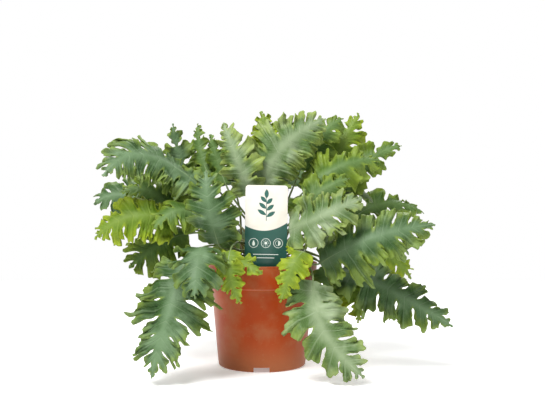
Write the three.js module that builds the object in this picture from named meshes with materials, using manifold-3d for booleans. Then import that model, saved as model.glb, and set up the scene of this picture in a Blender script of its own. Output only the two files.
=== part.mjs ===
// A davana golden polypody in a plastic nursery pot: pot, soil, creeping rhizome, plant label and 40 fronds.
// Millimetres, +Z up. The origin is the middle of the pot's foot, and the label faces -Y.
import * as THREE from "three";
import { mergeVertices } from "three/addons/utils/BufferGeometryUtils.js";
import Module from "manifold-3d";

const wasm = await Module();
wasm.setup();

// Pot: a 12 cm injection-moulded nursery pot with a deep rim band
const POT = {
  height: 110.8,
  footRadius: 46,
  bodyRadius: 55.2,
  rimRadius: 60,
  wall: 1.5,
  bandBottom: 87.4,
  floorRaise: 5.6,
  floorThickness: 1.6,
  ringWidth: 4,
  bossRadius: 12,
  segments: 32,
};
const DRAIN = { count: 6, radius: 4, ring: 29, sides: 6 };
const NOTCH = { count: 4, width: 16.5, height: 5.2 };

// Soil, rhizome and label, with the gap that pieces keep between each other
const GAP = 0.35;
const SOIL = { top: 98, edgeDrop: 2.5, flatRadius: 44, segments: 24 };
const RHIZOME = {
  arms: 5,
  sitesPerArm: 8,
  firstSite: 9,
  siteStep: 4.9,
  swirl: 70,
  halfWidth: 4.8,
  height: 7.6,
  reach: 45,
  rings: 3,
  bluntEnd: 0.6,
};
const HOLE = { radius: 2.15, depth: 5, sides: 4 };
const LABEL = {
  width: 43.6,
  top: 194,
  shoulder: 101,
  point: 79,
  pointWidth: 6,
  thickness: 0.8,
  corner: 3.2,
  x: 2.2,
  y: -50.4,
  lean: 1,
};

// Fronds: what they all share
const STEM = { radius: 1.15, rings: 4, sides: 6, rise: 0.5, arrive: 0.34 };
const BLADE = {
  margin: 0.66,
  hub: 0.8,
  rib: 1.5,
  wing: 3,
  tableSteps: 64,
  lobesEnd: 0.84,
  endSinus: 0.3,
  lobeHub: 0.25,
  endHub: 0.42,
  endDroop: 0.12,
};
const SINUS_SLOPE = { base: 97, tip: 40, power: 0.85, jitter: 2.5 };
const LONG_LOBE = 31;

// Outline of a long and a short lobe, from its rear sinus round its tip. Each point is its share of the lobe's
// free length, and of the way from its middle (0) to the line through the next sinus (1) or the last one (-1).
const LONG_EDGE = [
  [0.2, -0.8],
  [0.66, -0.9],
  [0.64, -0.34],
  [1.0, -0.06],
  [0.72, 0.28],
  [0.74, 0.88],
  [0.2, 0.78],
];
const SHORT_EDGE = [
  [0.22, -0.78],
  [0.72, -0.76],
  [1.0, 0.04],
  [0.76, 0.74],
  [0.2, 0.74],
];
// Half outline of the end lobe: [share of its length, share of the angle between the rib and the last sinus]
const END_EDGE = [
  [0.5, 0.62],
  [0.74, 0.52],
  [0.66, 0.26],
  [0.88, 0.16],
];

// Leaf colours: the waxy blue-green of old blades, plain green, pale undersides and the lime of new ones
const TONE = { blue: "#5f8168", green: "#5c8547", pale: "#93ab7c", lime: "#8fa83a" };

// Each frond seen from the front: knee is where the blade starts, mid and tip are further points of its rib,
// face is the way its upper side looks, half is its longest lobe, cut is how near the rib the lobes part, and
// roof is the angle at which both sides fall (+) or rise (-) from the rib. sag adds to it towards the margin.
const FRONT_FRONDS = [
  {
    name: "front_left_hanging", knee: [-78, -58, 116], mid: [-92, -94, 64], tip: [-106, -110, 8],
    face: [-0.3, -1, 0.4], half: 49, pairs: 6, cut: 0.28, roof: 8, sag: 18, tone: "blue",
  },
  {
    name: "front_right_hanging", knee: [52, -74, 98], mid: [61, -98, 52], tip: [100, -110, 9],
    face: [0.1, -1, 0.4], half: 39, pairs: 5, cut: 0.28, roof: 6, sag: 14, tone: "pale",
  },
  {
    name: "rim_right_small", knee: [54, -58, 121], mid: [47, -79, 109], tip: [34, -85, 72],
    face: [0, -1, 0.4], half: 20, pairs: 4, cut: 0.4, roof: 10, sag: 16, tone: "lime",
  },
  {
    name: "front_left_upright", knee: [-44, -54, 134], mid: [-52, -72, 170], tip: [-57, -58, 210],
    face: [-0.2, -1, 0.3], half: 33, pairs: 5, cut: 0.36, roof: 8, sag: 14, tone: "blue",
  },
  {
    name: "front_left_nodding", knee: [-58, -70, 144], mid: [-61, -102, 134], tip: [-62, -122, 98],
    face: [0, -0.8, 1], half: 36, pairs: 4, cut: 0.4, roof: 6, sag: 14, tone: "blue",
  },
  {
    name: "right_low_long", knee: [84, -28, 104], mid: [136, -38, 84], tip: [200, -42, 47],
    face: [0, -0.9, 0.7], half: 40, pairs: 6, cut: 0.26, roof: 10, sag: 18, tone: "blue",
  },
  {
    name: "right_mid_long", knee: [66, -44, 108], mid: [119, -60, 135], tip: [183, -44, 149],
    face: [0, -1, 0.5], half: 43, pairs: 6, cut: 0.34, roof: 6, sag: 16, tone: "blue",
  },
  {
    name: "right_pale", knee: [31, -48, 142], mid: [64, -72, 157], tip: [106, -62, 176],
    face: [0, -1, 0.5], half: 36, pairs: 5, cut: 0.2, roof: 4, sag: 14, tone: "pale",
  },
  {
    name: "top_pale", knee: [2, -26, 186], mid: [20, -26, 232], tip: [70, -2, 268],
    face: [0.1, -1, 0.1], half: 42, pairs: 6, cut: 0.42, roof: 4, sag: 10, tone: "pale",
  },
  {
    name: "top_left_pale", knee: [-12, -30, 184], mid: [-27, -32, 223], tip: [-42, -16, 262],
    face: [-0.4, -1, 0], half: 27, pairs: 5, cut: 0.42, roof: 8, sag: 14, tone: "pale",
  },
  {
    name: "upper_left_long", knee: [-70, -8, 196], mid: [-124, -30, 226], tip: [-160, -64, 204],
    face: [-0.3, -1, 0.6], half: 44, pairs: 6, cut: 0.3, roof: 8, sag: 14, tone: "blue",
  },
  {
    name: "right_upper_long", knee: [44, -22, 187], mid: [82, -30, 214], tip: [128, -12, 222],
    face: [0.1, -0.9, 0.7], half: 38, pairs: 5, cut: 0.4, roof: 14, sag: 22, tone: "green",
  },
  {
    name: "left_lime", knee: [-92, -26, 154], mid: [-134, -42, 162], tip: [-176, -36, 138],
    face: [-0.1, -1, 0.5], half: 34, pairs: 5, cut: 0.32, roof: 10, sag: 18, tone: "lime",
  },
  {
    name: "left_dark", knee: [-116, 28, 168], mid: [-156, 34, 184], tip: [-192, 36, 174],
    face: [0, -1, 0.5], half: 34, pairs: 4, cut: 0.3, roof: 10, sag: 18, tone: "blue",
  },
  {
    name: "left_low", knee: [-80, -6, 142], mid: [-112, -14, 130], tip: [-142, -20, 106],
    face: [-0.2, -1, 0.6], half: 38, pairs: 4, cut: 0.32, roof: 12, sag: 18, tone: "green",
  },
  {
    name: "left_inner", knee: [-60, -34, 168], mid: [-82, -52, 180], tip: [-106, -64, 160],
    face: [-0.2, -1, 0.7], half: 31, pairs: 4, cut: 0.34, roof: 10, sag: 18, tone: "green",
  },
  {
    name: "rim_left_small", knee: [-38, -50, 120], mid: [-20, -72, 117], tip: [2, -80, 106],
    face: [0, -0.8, 1], half: 20, pairs: 3, cut: 0.34, roof: 12, sag: 16, tone: "lime",
  },
  {
    name: "low_left_lime", knee: [-42, -58, 116], mid: [-45, -76, 92], tip: [-34, -80, 64],
    face: [-0.2, -1, 0.5], half: 24, pairs: 4, cut: 0.34, roof: 12, sag: 18, tone: "lime",
  },
  {
    name: "right_far", knee: [100, 30, 156], mid: [141, 40, 174], tip: [186, 46, 164],
    face: [0, -1, 0.8], half: 28, pairs: 4, cut: 0.24, roof: 10, sag: 16, tone: "green",
  },
  {
    name: "right_lime", knee: [94, 12, 114], mid: [136, 22, 118], tip: [168, 26, 90],
    face: [0.2, -1, 0.6], half: 30, pairs: 4, cut: 0.4, roof: 10, sag: 18, tone: "lime",
  },
  {
    name: "top_right_lime", knee: [72, 22, 204], mid: [91, 28, 242], tip: [110, 42, 278],
    face: [0, -1, 0.3], half: 28, pairs: 4, cut: 0.34, roof: 10, sag: 16, tone: "lime",
  },
];
const FILLING_FRONDS = [
  {
    name: "left_top_inner", knee: [-64, 2, 184], mid: [-88, -4, 210], tip: [-122, -6, 212],
    face: [-0.1, -1, 0.6], half: 30, pairs: 4, cut: 0.34, roof: 12, sag: 18, tone: "green",
  },
  {
    name: "left_mid", knee: [-88, 14, 160], mid: [-120, 8, 186], tip: [-156, 2, 188],
    face: [0, -1, 0.5], half: 34, pairs: 4, cut: 0.32, roof: 12, sag: 18, tone: "green",
  },
  {
    name: "upper_left_thin", knee: [-88, 18, 198], mid: [-98, 14, 230], tip: [-104, 8, 264],
    face: [-0.3, -1, 0], half: 21, pairs: 3, cut: 0.16, roof: 8, sag: 10, tone: "blue",
  },
  {
    name: "top_left", knee: [-61, 16, 186], mid: [-73, 24, 216], tip: [-78, 34, 248],
    face: [-0.3, -1, 0.2], half: 24, pairs: 4, cut: 0.32, roof: 10, sag: 14, tone: "green",
  },
  {
    name: "top_left_curl", knee: [-40, 6, 196], mid: [-51, 12, 226], tip: [-58, 20, 252],
    face: [-0.3, -1, 0.2], half: 20, pairs: 3, cut: 0.34, roof: 12, sag: 18, tone: "green",
  },
  {
    name: "top_ridge", knee: [40, 16, 212], mid: [60, 20, 247], tip: [86, 36, 270],
    face: [0, -1, 0.4], half: 30, pairs: 4, cut: 0.34, roof: 10, sag: 18, tone: "green",
  },
  {
    name: "top_middle_lime", knee: [6, 22, 214], mid: [6, 30, 248], tip: [-2, 42, 280],
    face: [0, -1, 0.4], half: 25, pairs: 4, cut: 0.34, roof: 10, sag: 16, tone: "lime",
  },
  {
    name: "top_right_fringe", knee: [90, 2, 190], mid: [118, -4, 222], tip: [152, -8, 238],
    face: [0, -1, 0.4], half: 24, pairs: 3, cut: 0.3, roof: 6, sag: 8, tone: "green",
  },
  {
    name: "right_inner", knee: [38, -42, 166], mid: [60, -50, 188], tip: [90, -46, 202],
    face: [0, -1, 0.6], half: 27, pairs: 4, cut: 0.4, roof: 12, sag: 18, tone: "green",
  },
  {
    name: "right_curl", knee: [76, 2, 168], mid: [100, 0, 188], tip: [122, -8, 176],
    face: [0.1, -0.8, 0.8], half: 17, pairs: 3, cut: 0.3, roof: 16, sag: 24, tone: "pale",
  },
  {
    name: "low_right_lime", knee: [84, -8, 104], mid: [98, -20, 82], tip: [103, -26, 48],
    face: [0.3, -1, 0.5], half: 23, pairs: 3, cut: 0.34, roof: 12, sag: 18, tone: "lime",
  },
  {
    name: "low_right_dark", knee: [66, -24, 114], mid: [72, -44, 84], tip: [64, -50, 54],
    face: [0.4, -1, 0.5], half: 22, pairs: 3, cut: 0.3, roof: 12, sag: 18, tone: "green",
  },
  {
    name: "label_left_small", knee: [-24, -44, 124], mid: [-30, -58, 140], tip: [-26, -60, 158],
    face: [0.2, -1, 0.3], half: 17, pairs: 3, cut: 0.3, roof: 8, sag: 12, tone: "green",
  },
];

// The side away from the label is filled by a rule: fronds in three tiers, turn by turn round the back
const BACK = { count: 6, first: 30, step: 24, seed: 71 };
const BACK_TIERS = [
  { knee: [62, 134], mid: [116, 138], tip: [160, 88], half: 36, pairs: 4, roof: 16, sag: 20, tone: "green" },
  { knee: [50, 196], mid: [88, 236], tip: [126, 236], half: 33, pairs: 4, roof: 16, sag: 20, tone: "blue" },
  { knee: [66, 158], mid: [120, 182], tip: [172, 158], half: 36, pairs: 5, roof: 16, sag: 20, tone: "green" },
];

// How a frond is turned or raised, and then a lobe bent or drawn in, until it is clear of what is there
const SWINGS = [0, 3, -3, 6, -6, 10, -10];
const LIFTS = [0, 6, -6, 12, -12, 18];
// Each bend: how far in millimetres a lobe's tip is raised, and the share of its length that it keeps
const BENDS = [
  [0, 1],
  [7, 1],
  [-7, 1],
  [14, 1],
  [-14, 1],
  [0, 0.8],
  [10, 0.75],
  [-10, 0.75],
  [20, 0.9],
  [-20, 0.9],
  [0, 0.6],
  [8, 0.5],
  [-8, 0.5],
];
const SHRINKS = [1, 0.86, 0.74];
const CLEARANCE = 0.35;
const OVERLAP_SEEN = 1e-4;
const LOWEST_TIP = 6;
const SITES_TRIED = 3;

const radians = (degrees) => (degrees * Math.PI) / 180;
const mix = (a, b, share) => a + (b - a) * share;
const vector = (xyz) => new THREE.Vector3(...xyz);

// A seeded stream of numbers between two limits
function random(seed) {
  const range = 4294967296;
  let state = (seed * 2654435761) % range;
  return (low, high) => {
    state = (state * 1664525 + 1013904223) % range;
    return low + ((high - low) * state) / range;
  };
}

function seedOf(name) {
  return [...name].reduce((sum, letter, i) => sum + letter.charCodeAt(0) * (i + 1), 0);
}

// From three.js geometry to a solid, and back
function solidOf(geometry) {
  const bare = geometry.clone();
  bare.deleteAttribute("normal");
  bare.deleteAttribute("uv");
  const merged = mergeVertices(bare, 1e-4);
  return new wasm.Manifold(
    new wasm.Mesh({
      numProp: 3,
      vertProperties: new Float32Array(merged.attributes.position.array),
      triVerts: new Uint32Array(merged.index.array),
    }),
  );
}

function geometryOf(solid) {
  const mesh = solid.getMesh();
  const geometry = new THREE.BufferGeometry();
  const places = new THREE.BufferAttribute(new Float32Array(mesh.vertProperties), mesh.numProp);
  geometry.setAttribute("position", places);
  geometry.setIndex(new THREE.BufferAttribute(new Uint32Array(mesh.triVerts), 1));
  geometry.computeVertexNormals();
  return geometry;
}

function meshGeometry(points, triangles) {
  const geometry = new THREE.BufferGeometry();
  geometry.setAttribute("position", new THREE.Float32BufferAttribute(points.flatMap((p) => p.toArray()), 3));
  geometry.setIndex(triangles.flat());
  return geometry;
}

// A solid of revolution about Z from its outline in radius and height
function turned(outline, segments) {
  const points = outline.map(([radius, z]) => new THREE.Vector2(radius, z));
  return new THREE.LatheGeometry(points, segments).rotateX(Math.PI / 2);
}

// A tube through rings of points that all turn the same way, with flat ends
function loft(rings) {
  const sides = rings[0].length;
  const triangles = [];
  for (let k = 0; k + 1 < rings.length; k++)
    for (let i = 0; i < sides; i++) {
      const [a, b] = [k * sides + i, k * sides + ((i + 1) % sides)];
      triangles.push([a, b, b + sides], [a, b + sides, a + sides]);
    }
  const last = (rings.length - 1) * sides;
  for (let i = 1; i + 1 < sides; i++) triangles.push([0, i + 1, i], [last, last + i, last + i + 1]);
  return meshGeometry(rings.flat(), triangles);
}

function upright(sides, radius, low, high, x, y) {
  const rod = new THREE.CylinderGeometry(radius, radius, high - low, sides);
  return solidOf(rod.rotateX(Math.PI / 2).translate(x, y, (low + high) / 2));
}

// The pot's outer and inner outline in one closed profile, with its foot ring and middle boss on the ground
function potSolid() {
  const { height, footRadius, bodyRadius, rimRadius, wall, bandBottom } = POT;
  const { floorRaise, floorThickness, ringWidth, bossRadius } = POT;
  const floorTop = floorRaise + floorThickness;
  const outline = [
    [0, 0],
    [bossRadius, 0],
    [bossRadius + 1, floorRaise],
    [footRadius - ringWidth - 1, floorRaise],
    [footRadius - ringWidth, 0],
    [footRadius, 0],
    [footRadius + 1.4, 1.6],
    [bodyRadius, bandBottom - 1.4],
    [rimRadius - 1.4, bandBottom],
    [rimRadius - 0.4, height - 2],
    [rimRadius, height],
    [rimRadius - wall - 0.7, height],
    [rimRadius - wall - 1.5, bandBottom + 2],
    [bodyRadius - wall, bandBottom - 3],
    [footRadius + 0.2, floorTop],
    [0, floorTop],
  ];
  let pot = solidOf(turned(outline, POT.segments));
  for (let i = 0; i < NOTCH.count; i++) {
    const notch = new THREE.BoxGeometry(12, NOTCH.width, NOTCH.height * 2)
      .translate(footRadius - 1, 0, 0)
      .rotateZ(radians(-90 + (360 / NOTCH.count) * i));
    pot = pot.subtract(solidOf(notch));
  }
  for (let i = 0; i < DRAIN.count; i++) {
    const turn = radians((360 / DRAIN.count) * i);
    const [x, y] = [DRAIN.ring * Math.cos(turn), DRAIN.ring * Math.sin(turn)];
    pot = pot.subtract(upright(DRAIN.sides, DRAIN.radius, -1, floorTop + 1, x, y));
  }
  return pot;
}

// The label: a flat stake with round shoulders and a blunt point, swell thicker all over for the slot it cuts
function labelSolid(swell) {
  const { width, top, shoulder, point, pointWidth, thickness, corner, x, y, lean } = LABEL;
  const half = width / 2 + swell;
  const shape = new THREE.Shape();
  shape.moveTo(-pointWidth / 2 - swell, point - swell);
  shape.lineTo(pointWidth / 2 + swell, point - swell);
  shape.lineTo(half, shoulder);
  shape.lineTo(half, top - corner);
  shape.absarc(half - corner, top - corner, corner, 0, Math.PI / 2);
  shape.absarc(-half + corner, top - corner, corner, Math.PI / 2, Math.PI);
  shape.lineTo(-half, shoulder);
  const depth = thickness + 2 * swell;
  const plate = new THREE.ExtrudeGeometry(shape, { depth, bevelEnabled: false, curveSegments: 4 });
  plate.translate(0, 0, -depth / 2).rotateX(Math.PI / 2);
  return solidOf(plate.rotateY(radians(lean)).translate(x, y, 0));
}

// The soil fills the pot to just under its rim, and has a slot for the label
function soilSolid() {
  const { top, edgeDrop, flatRadius, segments } = SOIL;
  const inner = POT.bodyRadius - POT.wall - GAP;
  const low = POT.floorRaise + POT.floorThickness + GAP;
  const outline = [
    [0, low],
    [POT.footRadius - GAP - 0.2, low],
    [inner - 0.2, POT.bandBottom - 3],
    [POT.rimRadius - POT.wall - 1.9, POT.bandBottom + 2.2],
    [POT.rimRadius - POT.wall - 1.8, top - edgeDrop],
    [flatRadius, top],
    [0, top],
  ];
  return solidOf(turned(outline, segments)).subtract(labelSolid(GAP));
}

// Where fronds root: evenly along each arm of the rhizome, which swirls out from the middle
function rootSite(arm, radius) {
  const turn = radians((360 / RHIZOME.arms) * arm + RHIZOME.swirl * (radius / RHIZOME.reach) ** 1.3);
  return [radius * Math.cos(turn), radius * Math.sin(turn)];
}

function rootSites() {
  const sites = [];
  for (let arm = 0; arm < RHIZOME.arms; arm++)
    for (let i = 0; i < RHIZOME.sitesPerArm; i++)
      sites.push(rootSite(arm, RHIZOME.firstSite + RHIZOME.siteStep * i));
  return sites;
}

// One creeping rhizome on the soil, its arms grown together in the middle, with a plain hole for each stem
function rhizomeSolid() {
  const rest = SOIL.top + GAP;
  const { halfWidth, height, rings, reach, bluntEnd } = RHIZOME;
  const section = [[1, 0], [0.92, 0.5], [0.4, 1], [-0.4, 1], [-0.92, 0.5], [-1, 0]];
  let body = null;
  for (let arm = 0; arm < RHIZOME.arms; arm++) {
    const tube = [];
    for (let k = 0; k <= rings; k++) {
      const radius = (reach * k) / rings;
      const here = vector([...rootSite(arm, radius), 0]);
      const ahead = vector([...rootSite(arm, radius + 1), 0]).sub(here).normalize();
      const across = new THREE.Vector3(-ahead.y, ahead.x, 0);
      // Knotted: thick and thin by turns
      const swell = (k === rings ? bluntEnd : 1) * (k % 2 ? 1.06 : 0.94);
      const point = ([side, up]) => {
        const beside = here.clone().addScaledVector(across, side * swell * halfWidth);
        return beside.setZ(rest + up * swell * height);
      };
      tube.push(section.map(point));
    }
    const solid = solidOf(loft(tube));
    body = body ? body.add(solid) : solid;
  }
  const top = rest + height;
  for (const [x, y] of rootSites()) {
    const hole = upright(HOLE.sides, HOLE.radius, top - HOLE.depth, top + 4, x, y);
    body = body.subtract(hole);
  }
  return body;
}

// The rib of a frond: a stem that leaves its site straight up, then the blade's arc, measured along itself
class Rib {
  constructor(frond) {
    const [knee, mid, tip] = [vector(frond.knee), vector(frond.mid), vector(frond.tip)];
    const bend = mid.clone().multiplyScalar(2).addScaledVector(knee, -0.5).addScaledVector(tip, -0.5);
    this.arc = new THREE.QuadraticBezierCurve3(knee, bend, tip);
    this.lengths = [0];
    for (let i = 1; i <= BLADE.tableSteps; i++) {
      const here = this.arc.getPoint(i / BLADE.tableSteps);
      const before = this.arc.getPoint((i - 1) / BLADE.tableSteps);
      this.lengths.push(this.lengths[i - 1] + here.distanceTo(before));
    }
    this.length = this.lengths[BLADE.tableSteps];
    const middle = this.arc.getTangent(0.5);
    this.side = vector(frond.face).cross(middle).normalize();
    this.twist = radians(frond.twist);
  }

  // Point and directions at a distance along the blade: ahead, to the side, and up from the upper face
  at(distance) {
    const { tableSteps } = BLADE;
    const clamped = Math.min(Math.max(distance, 0), this.length);
    let i = 0;
    while (i < tableSteps - 1 && this.lengths[i + 1] < clamped) i++;
    const share = (i + (clamped - this.lengths[i]) / (this.lengths[i + 1] - this.lengths[i])) / tableSteps;
    const ahead = this.arc.getTangent(share);
    const point = this.arc.getPoint(share).addScaledVector(ahead, distance - clamped);
    const roll = this.twist * (share - 0.5);
    const side = this.side.clone().addScaledVector(ahead, -this.side.dot(ahead)).normalize();
    const up = ahead.clone().cross(side);
    return {
      point,
      ahead,
      side: side.clone().multiplyScalar(Math.cos(roll)).addScaledVector(up, Math.sin(roll)),
      up: up.multiplyScalar(Math.cos(roll)).addScaledVector(side, -Math.sin(roll)),
    };
  }

  // A place on the blade: x along the rib, y out from it, raised by lift, with both sides falling like a roof
  place(frond, x, y, hand, lift) {
    const roof = radians(frond.roof);
    const sag = radians(frond.sag) / frond.half;
    const out = (Math.sin(roof + sag * y) - Math.sin(roof)) / sag;
    const down = (Math.cos(roof) - Math.cos(roof + sag * y)) / sag;
    const { point, side, up } = this.at(x);
    return point.clone().addScaledVector(side, hand * out).addScaledVector(up, lift - down);
  }
}

// How long lobes are along a blade, as a share of the longest
function lobeShare(t) {
  return t < 0.3 ? 1 - 0.22 * (1 - t / 0.3) ** 2 : 1 - 0.5 * ((t - 0.3) / 0.7) ** 1.5;
}

// The lobes of one frond, with their seeded differences. changes holds each lobe's bend and kept length.
function lobesOf(frond, length, changes) {
  const draw = random(frond.seed);
  const starts = [];
  for (let j = 0; j <= frond.pairs; j++) {
    const share = 1 - (1 - j / frond.pairs) ** 1.2;
    starts.push(BLADE.lobesEnd * length * share);
  }
  const slopes = {};
  for (const hand of [1, -1])
    slopes[hand] = starts.map((_, j) => {
      const slope = mix(SINUS_SLOPE.base, SINUS_SLOPE.tip, (j / frond.pairs) ** SINUS_SLOPE.power);
      return radians(slope + draw(-SINUS_SLOPE.jitter, SINUS_SLOPE.jitter));
    });
  const lobes = [];
  for (let j = 0; j < frond.pairs; j++)
    for (const hand of [1, -1]) {
      const [bend, kept] = changes[lobes.length] ?? [0, 1];
      const t = j / (frond.pairs - 1);
      const full = frond.half * lobeShare(t) * draw(0.84, 1.1);
      // Lobes rise and fall by turns, and differ between the two sides
      const turn = (j + (hand > 0 ? 0 : 1)) % 2 ? 1 : -1;
      lobes.push({
        hand,
        from: starts[j],
        to: starts[j + 1],
        fromSlope: slopes[hand][j],
        toSlope: slopes[hand][j + 1],
        full,
        length: full * kept,
        flip: draw(-1, 1) < 0 ? -1 : 1,
        lift: (turn * draw(0.04, 0.2) + draw(-0.06, 0.06)) * full * (1 - 0.4 * t),
        curl: draw(-0.26, 0.06) * full,
        twist: draw(-0.6, 0.6) * (1 - 0.6 * t),
        cup: draw(-0.1, 0.2),
        bend,
      });
    }
  return { lobes, starts, slopes };
}

// A place at a distance from the rib along the line through a sinus
function sinusPoint(start, slope, reach) {
  return [start + reach * Math.cos(slope), reach * Math.sin(slope)];
}

// A point of a lobe in the flat, between the lines through its two sinuses, and how far it is raised off it
function lobePoint(lobe, along, across) {
  const reach = along * lobe.length;
  const [x0, y0] = sinusPoint(lobe.from, lobe.fromSlope, reach);
  const [x1, y1] = sinusPoint(lobe.to, lobe.toSlope, reach);
  const share = (1 + across) / 2;
  const aside = (across * Math.hypot(x1 - x0, y1 - y0)) / 2;
  const lengthways = (lobe.lift + lobe.bend) * along ** 2 + lobe.curl * along ** 4;
  const raised = lengthways + lobe.twist * aside * along + lobe.cup * Math.abs(aside) * along;
  return [mix(x0, x1, share), Math.max(mix(y0, y1, share), 0.5), raised];
}

// The blade's middle surface: points with the thickness there, triangles facing up, and its margin in order
function bladeSurface(frond, rib, changes) {
  const { lobes, starts, slopes } = lobesOf(frond, rib.length, changes);
  const points = [];
  const thick = [];
  const triangles = [];
  const add = (x, y, hand, lift, thickness) => {
    points.push(rib.place(frond, x, y, hand, lift));
    thick.push(thickness);
    return points.length - 1;
  };
  const ribAt = (x) => add(x, 0, 1, 0, mix(BLADE.rib, BLADE.hub, x / rib.length));
  const nodes = starts.map(ribAt);

  // Fan of triangles from a hub to the points round it
  const fan = (hub, ring, hand) => {
    ring.forEach((a, i) => {
      const b = ring[(i + 1) % ring.length];
      triangles.push(hand > 0 ? [hub, a, b] : [hub, b, a]);
    });
  };

  const margins = {};
  const endSinus = {};
  for (const hand of [1, -1]) {
    const side = lobes.filter((lobe) => lobe.hand === hand);
    const margin = [add(starts[0], BLADE.wing, hand, 0, BLADE.margin)];
    side.forEach((lobe, j) => {
      const shape = lobe.full > LONG_LOBE ? LONG_EDGE : SHORT_EDGE;
      const turnedOver = lobe.flip > 0 ? shape : shape.map(([free, across]) => [free, -across]).reverse();
      const edge = turnedOver.map(([free, across]) => {
        const [x, y, lift] = lobePoint(lobe, mix(frond.cut, 1, free), across);
        return add(x, y, hand, lift, BLADE.margin);
      });
      const next = side[j + 1];
      const rest = BLADE.endSinus * (rib.length - lobe.to);
      const depth = next ? frond.cut * Math.min(lobe.full, next.full) : rest;
      const sinus = add(...sinusPoint(lobe.to, lobe.toSlope, depth), hand, 0, BLADE.margin);
      const [x, y, lift] = lobePoint(lobe, mix(frond.cut, 1, BLADE.lobeHub), 0);
      const hub = add(x, y, hand, lift, BLADE.hub);
      const rear = margin[margin.length - 1];
      fan(hub, [nodes[j], nodes[j + 1], sinus, ...[...edge].reverse(), rear], hand);
      margin.push(...edge, sinus);
    });
    margins[hand] = margin;
    endSinus[hand] = margin[margin.length - 1];
  }

  // End lobe
  const end = starts[frond.pairs];
  const endLength = rib.length - end;
  const droop = (share) => -BLADE.endDroop * endLength * share ** 2;
  const endEdge = (hand) =>
    END_EDGE.map(([along, across]) => {
      const [x, y] = sinusPoint(end, across * slopes[hand][frond.pairs], along * endLength);
      return add(x, y, hand, droop(along), BLADE.margin);
    });
  const [right, left] = [endEdge(1), endEdge(-1)];
  const tip = add(rib.length, 0, 1, droop(1), BLADE.margin);
  const hub = add(end + BLADE.endHub * endLength, 0, 1, droop(BLADE.endHub), BLADE.hub);
  fan(hub, [nodes[frond.pairs], endSinus[-1], ...left, tip, ...[...right].reverse(), endSinus[1]], 1);
  const margin = [...margins[-1], ...left, tip, ...[...right].reverse(), ...[...margins[1]].reverse()];
  return { points, thick, triangles, margin, base: nodes[0] };
}

// The stem's rings, from its foot in the rhizome to just short of the blade
function stemRings(frond, rib) {
  const foot = vector([...frond.site, SOIL.top + GAP + RHIZOME.height - HOLE.depth + 0.3]);
  const ground = foot.clone().setZ(SOIL.top + GAP + RHIZOME.height);
  const start = rib.at(0);
  const span = ground.distanceTo(start.point);
  const path = new THREE.CubicBezierCurve3(
    ground,
    ground.clone().add(new THREE.Vector3(0, 0, STEM.rise * span)),
    start.point.clone().addScaledVector(start.ahead, -STEM.arrive * span),
    start.point,
  );
  const rings = [];
  let side = start.side;
  for (let k = STEM.rings - 1; k >= -1; k--) {
    const share = Math.max(k, 0) / STEM.rings;
    const centre = k < 0 ? foot : path.getPoint(share);
    const ahead = path.getTangent(share);
    side = side.clone().addScaledVector(ahead, -side.dot(ahead)).normalize();
    const up = ahead.clone().cross(side);
    const ring = [];
    for (let i = 0; i < STEM.sides; i++) {
      const turn = radians(30 + 60 * i);
      const point = centre.clone().addScaledVector(side, STEM.radius * Math.cos(turn));
      ring.push(point.addScaledVector(up, STEM.radius * Math.sin(turn)));
    }
    rings.unshift(ring);
  }
  return rings;
}

// One frond as a closed solid: the blade, with its thickness, lofted on to its stem. swell thickens it.
function frondSolid(frond, changes = {}, swell = 0) {
  const rib = new Rib(frond);
  const { points, thick, triangles, margin, base } = bladeSurface(frond, rib, changes);
  const normals = points.map(() => new THREE.Vector3());
  for (const [a, b, c] of triangles) {
    const normal = points[b].clone().sub(points[a]).cross(points[c].clone().sub(points[a]));
    for (const i of [a, b, c]) normals[i].add(normal);
  }
  normals.forEach((normal) => normal.normalize());
  const count = points.length;
  const both = [1, -1].flatMap((face) =>
    points.map((point, i) => point.clone().addScaledVector(normals[i], face * (thick[i] / 2 + swell))),
  );
  const faces = triangles.flatMap(([a, b, c]) => [[a, b, c], [a + count, c + count, b + count]]);
  for (let i = 0; i + 1 < margin.length; i++) {
    const [a, b] = [margin[i], margin[i + 1]];
    faces.push([b, a, a + count], [b, a + count, b + count]);
  }
  const rings = stemRings(frond, rib);
  const sides = STEM.sides;
  const first = both.length;
  both.push(...rings.flat());
  const [leftWing, rightWing] = [margin[0], margin[margin.length - 1]];
  const seam = [rightWing, base, leftWing, leftWing + count, base + count, rightWing + count];
  const ringOf = (k) => (k < rings.length ? rings[k].map((_, i) => first + k * sides + i) : seam);
  for (let k = 0; k < rings.length; k++) {
    const [low, high] = [ringOf(k), ringOf(k + 1)];
    for (let i = 0; i < sides; i++) {
      const j = (i + 1) % sides;
      faces.push([low[i], low[j], high[j]], [low[i], high[j], high[i]]);
    }
  }
  for (let i = 1; i + 1 < sides; i++) faces.push([first, first + i + 1, first + i]);
  return solidOf(meshGeometry(both, faces));
}

// Turns a frond about the pot's axis and raises it, with its stem's foot left where it is
function moved(frond, swing, lift) {
  const shift = ([x, y, z]) => {
    const [c, s] = [Math.cos(radians(swing)), Math.sin(radians(swing))];
    return [x * c - y * s, x * s + y * c, z + lift];
  };
  return { ...frond, knee: shift(frond.knee), mid: shift(frond.mid), tip: shift(frond.tip) };
}

function crossing(solid, others) {
  const box = solid.boundingBox();
  let volume = 0;
  for (const other of others) {
    const apart = [0, 1, 2].some((i) => other.box.min[i] > box.max[i] || other.box.max[i] < box.min[i]);
    if (apart) continue;
    volume += Math.max(solid.intersect(other.solid).volume(), 0);
  }
  return volume;
}

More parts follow.
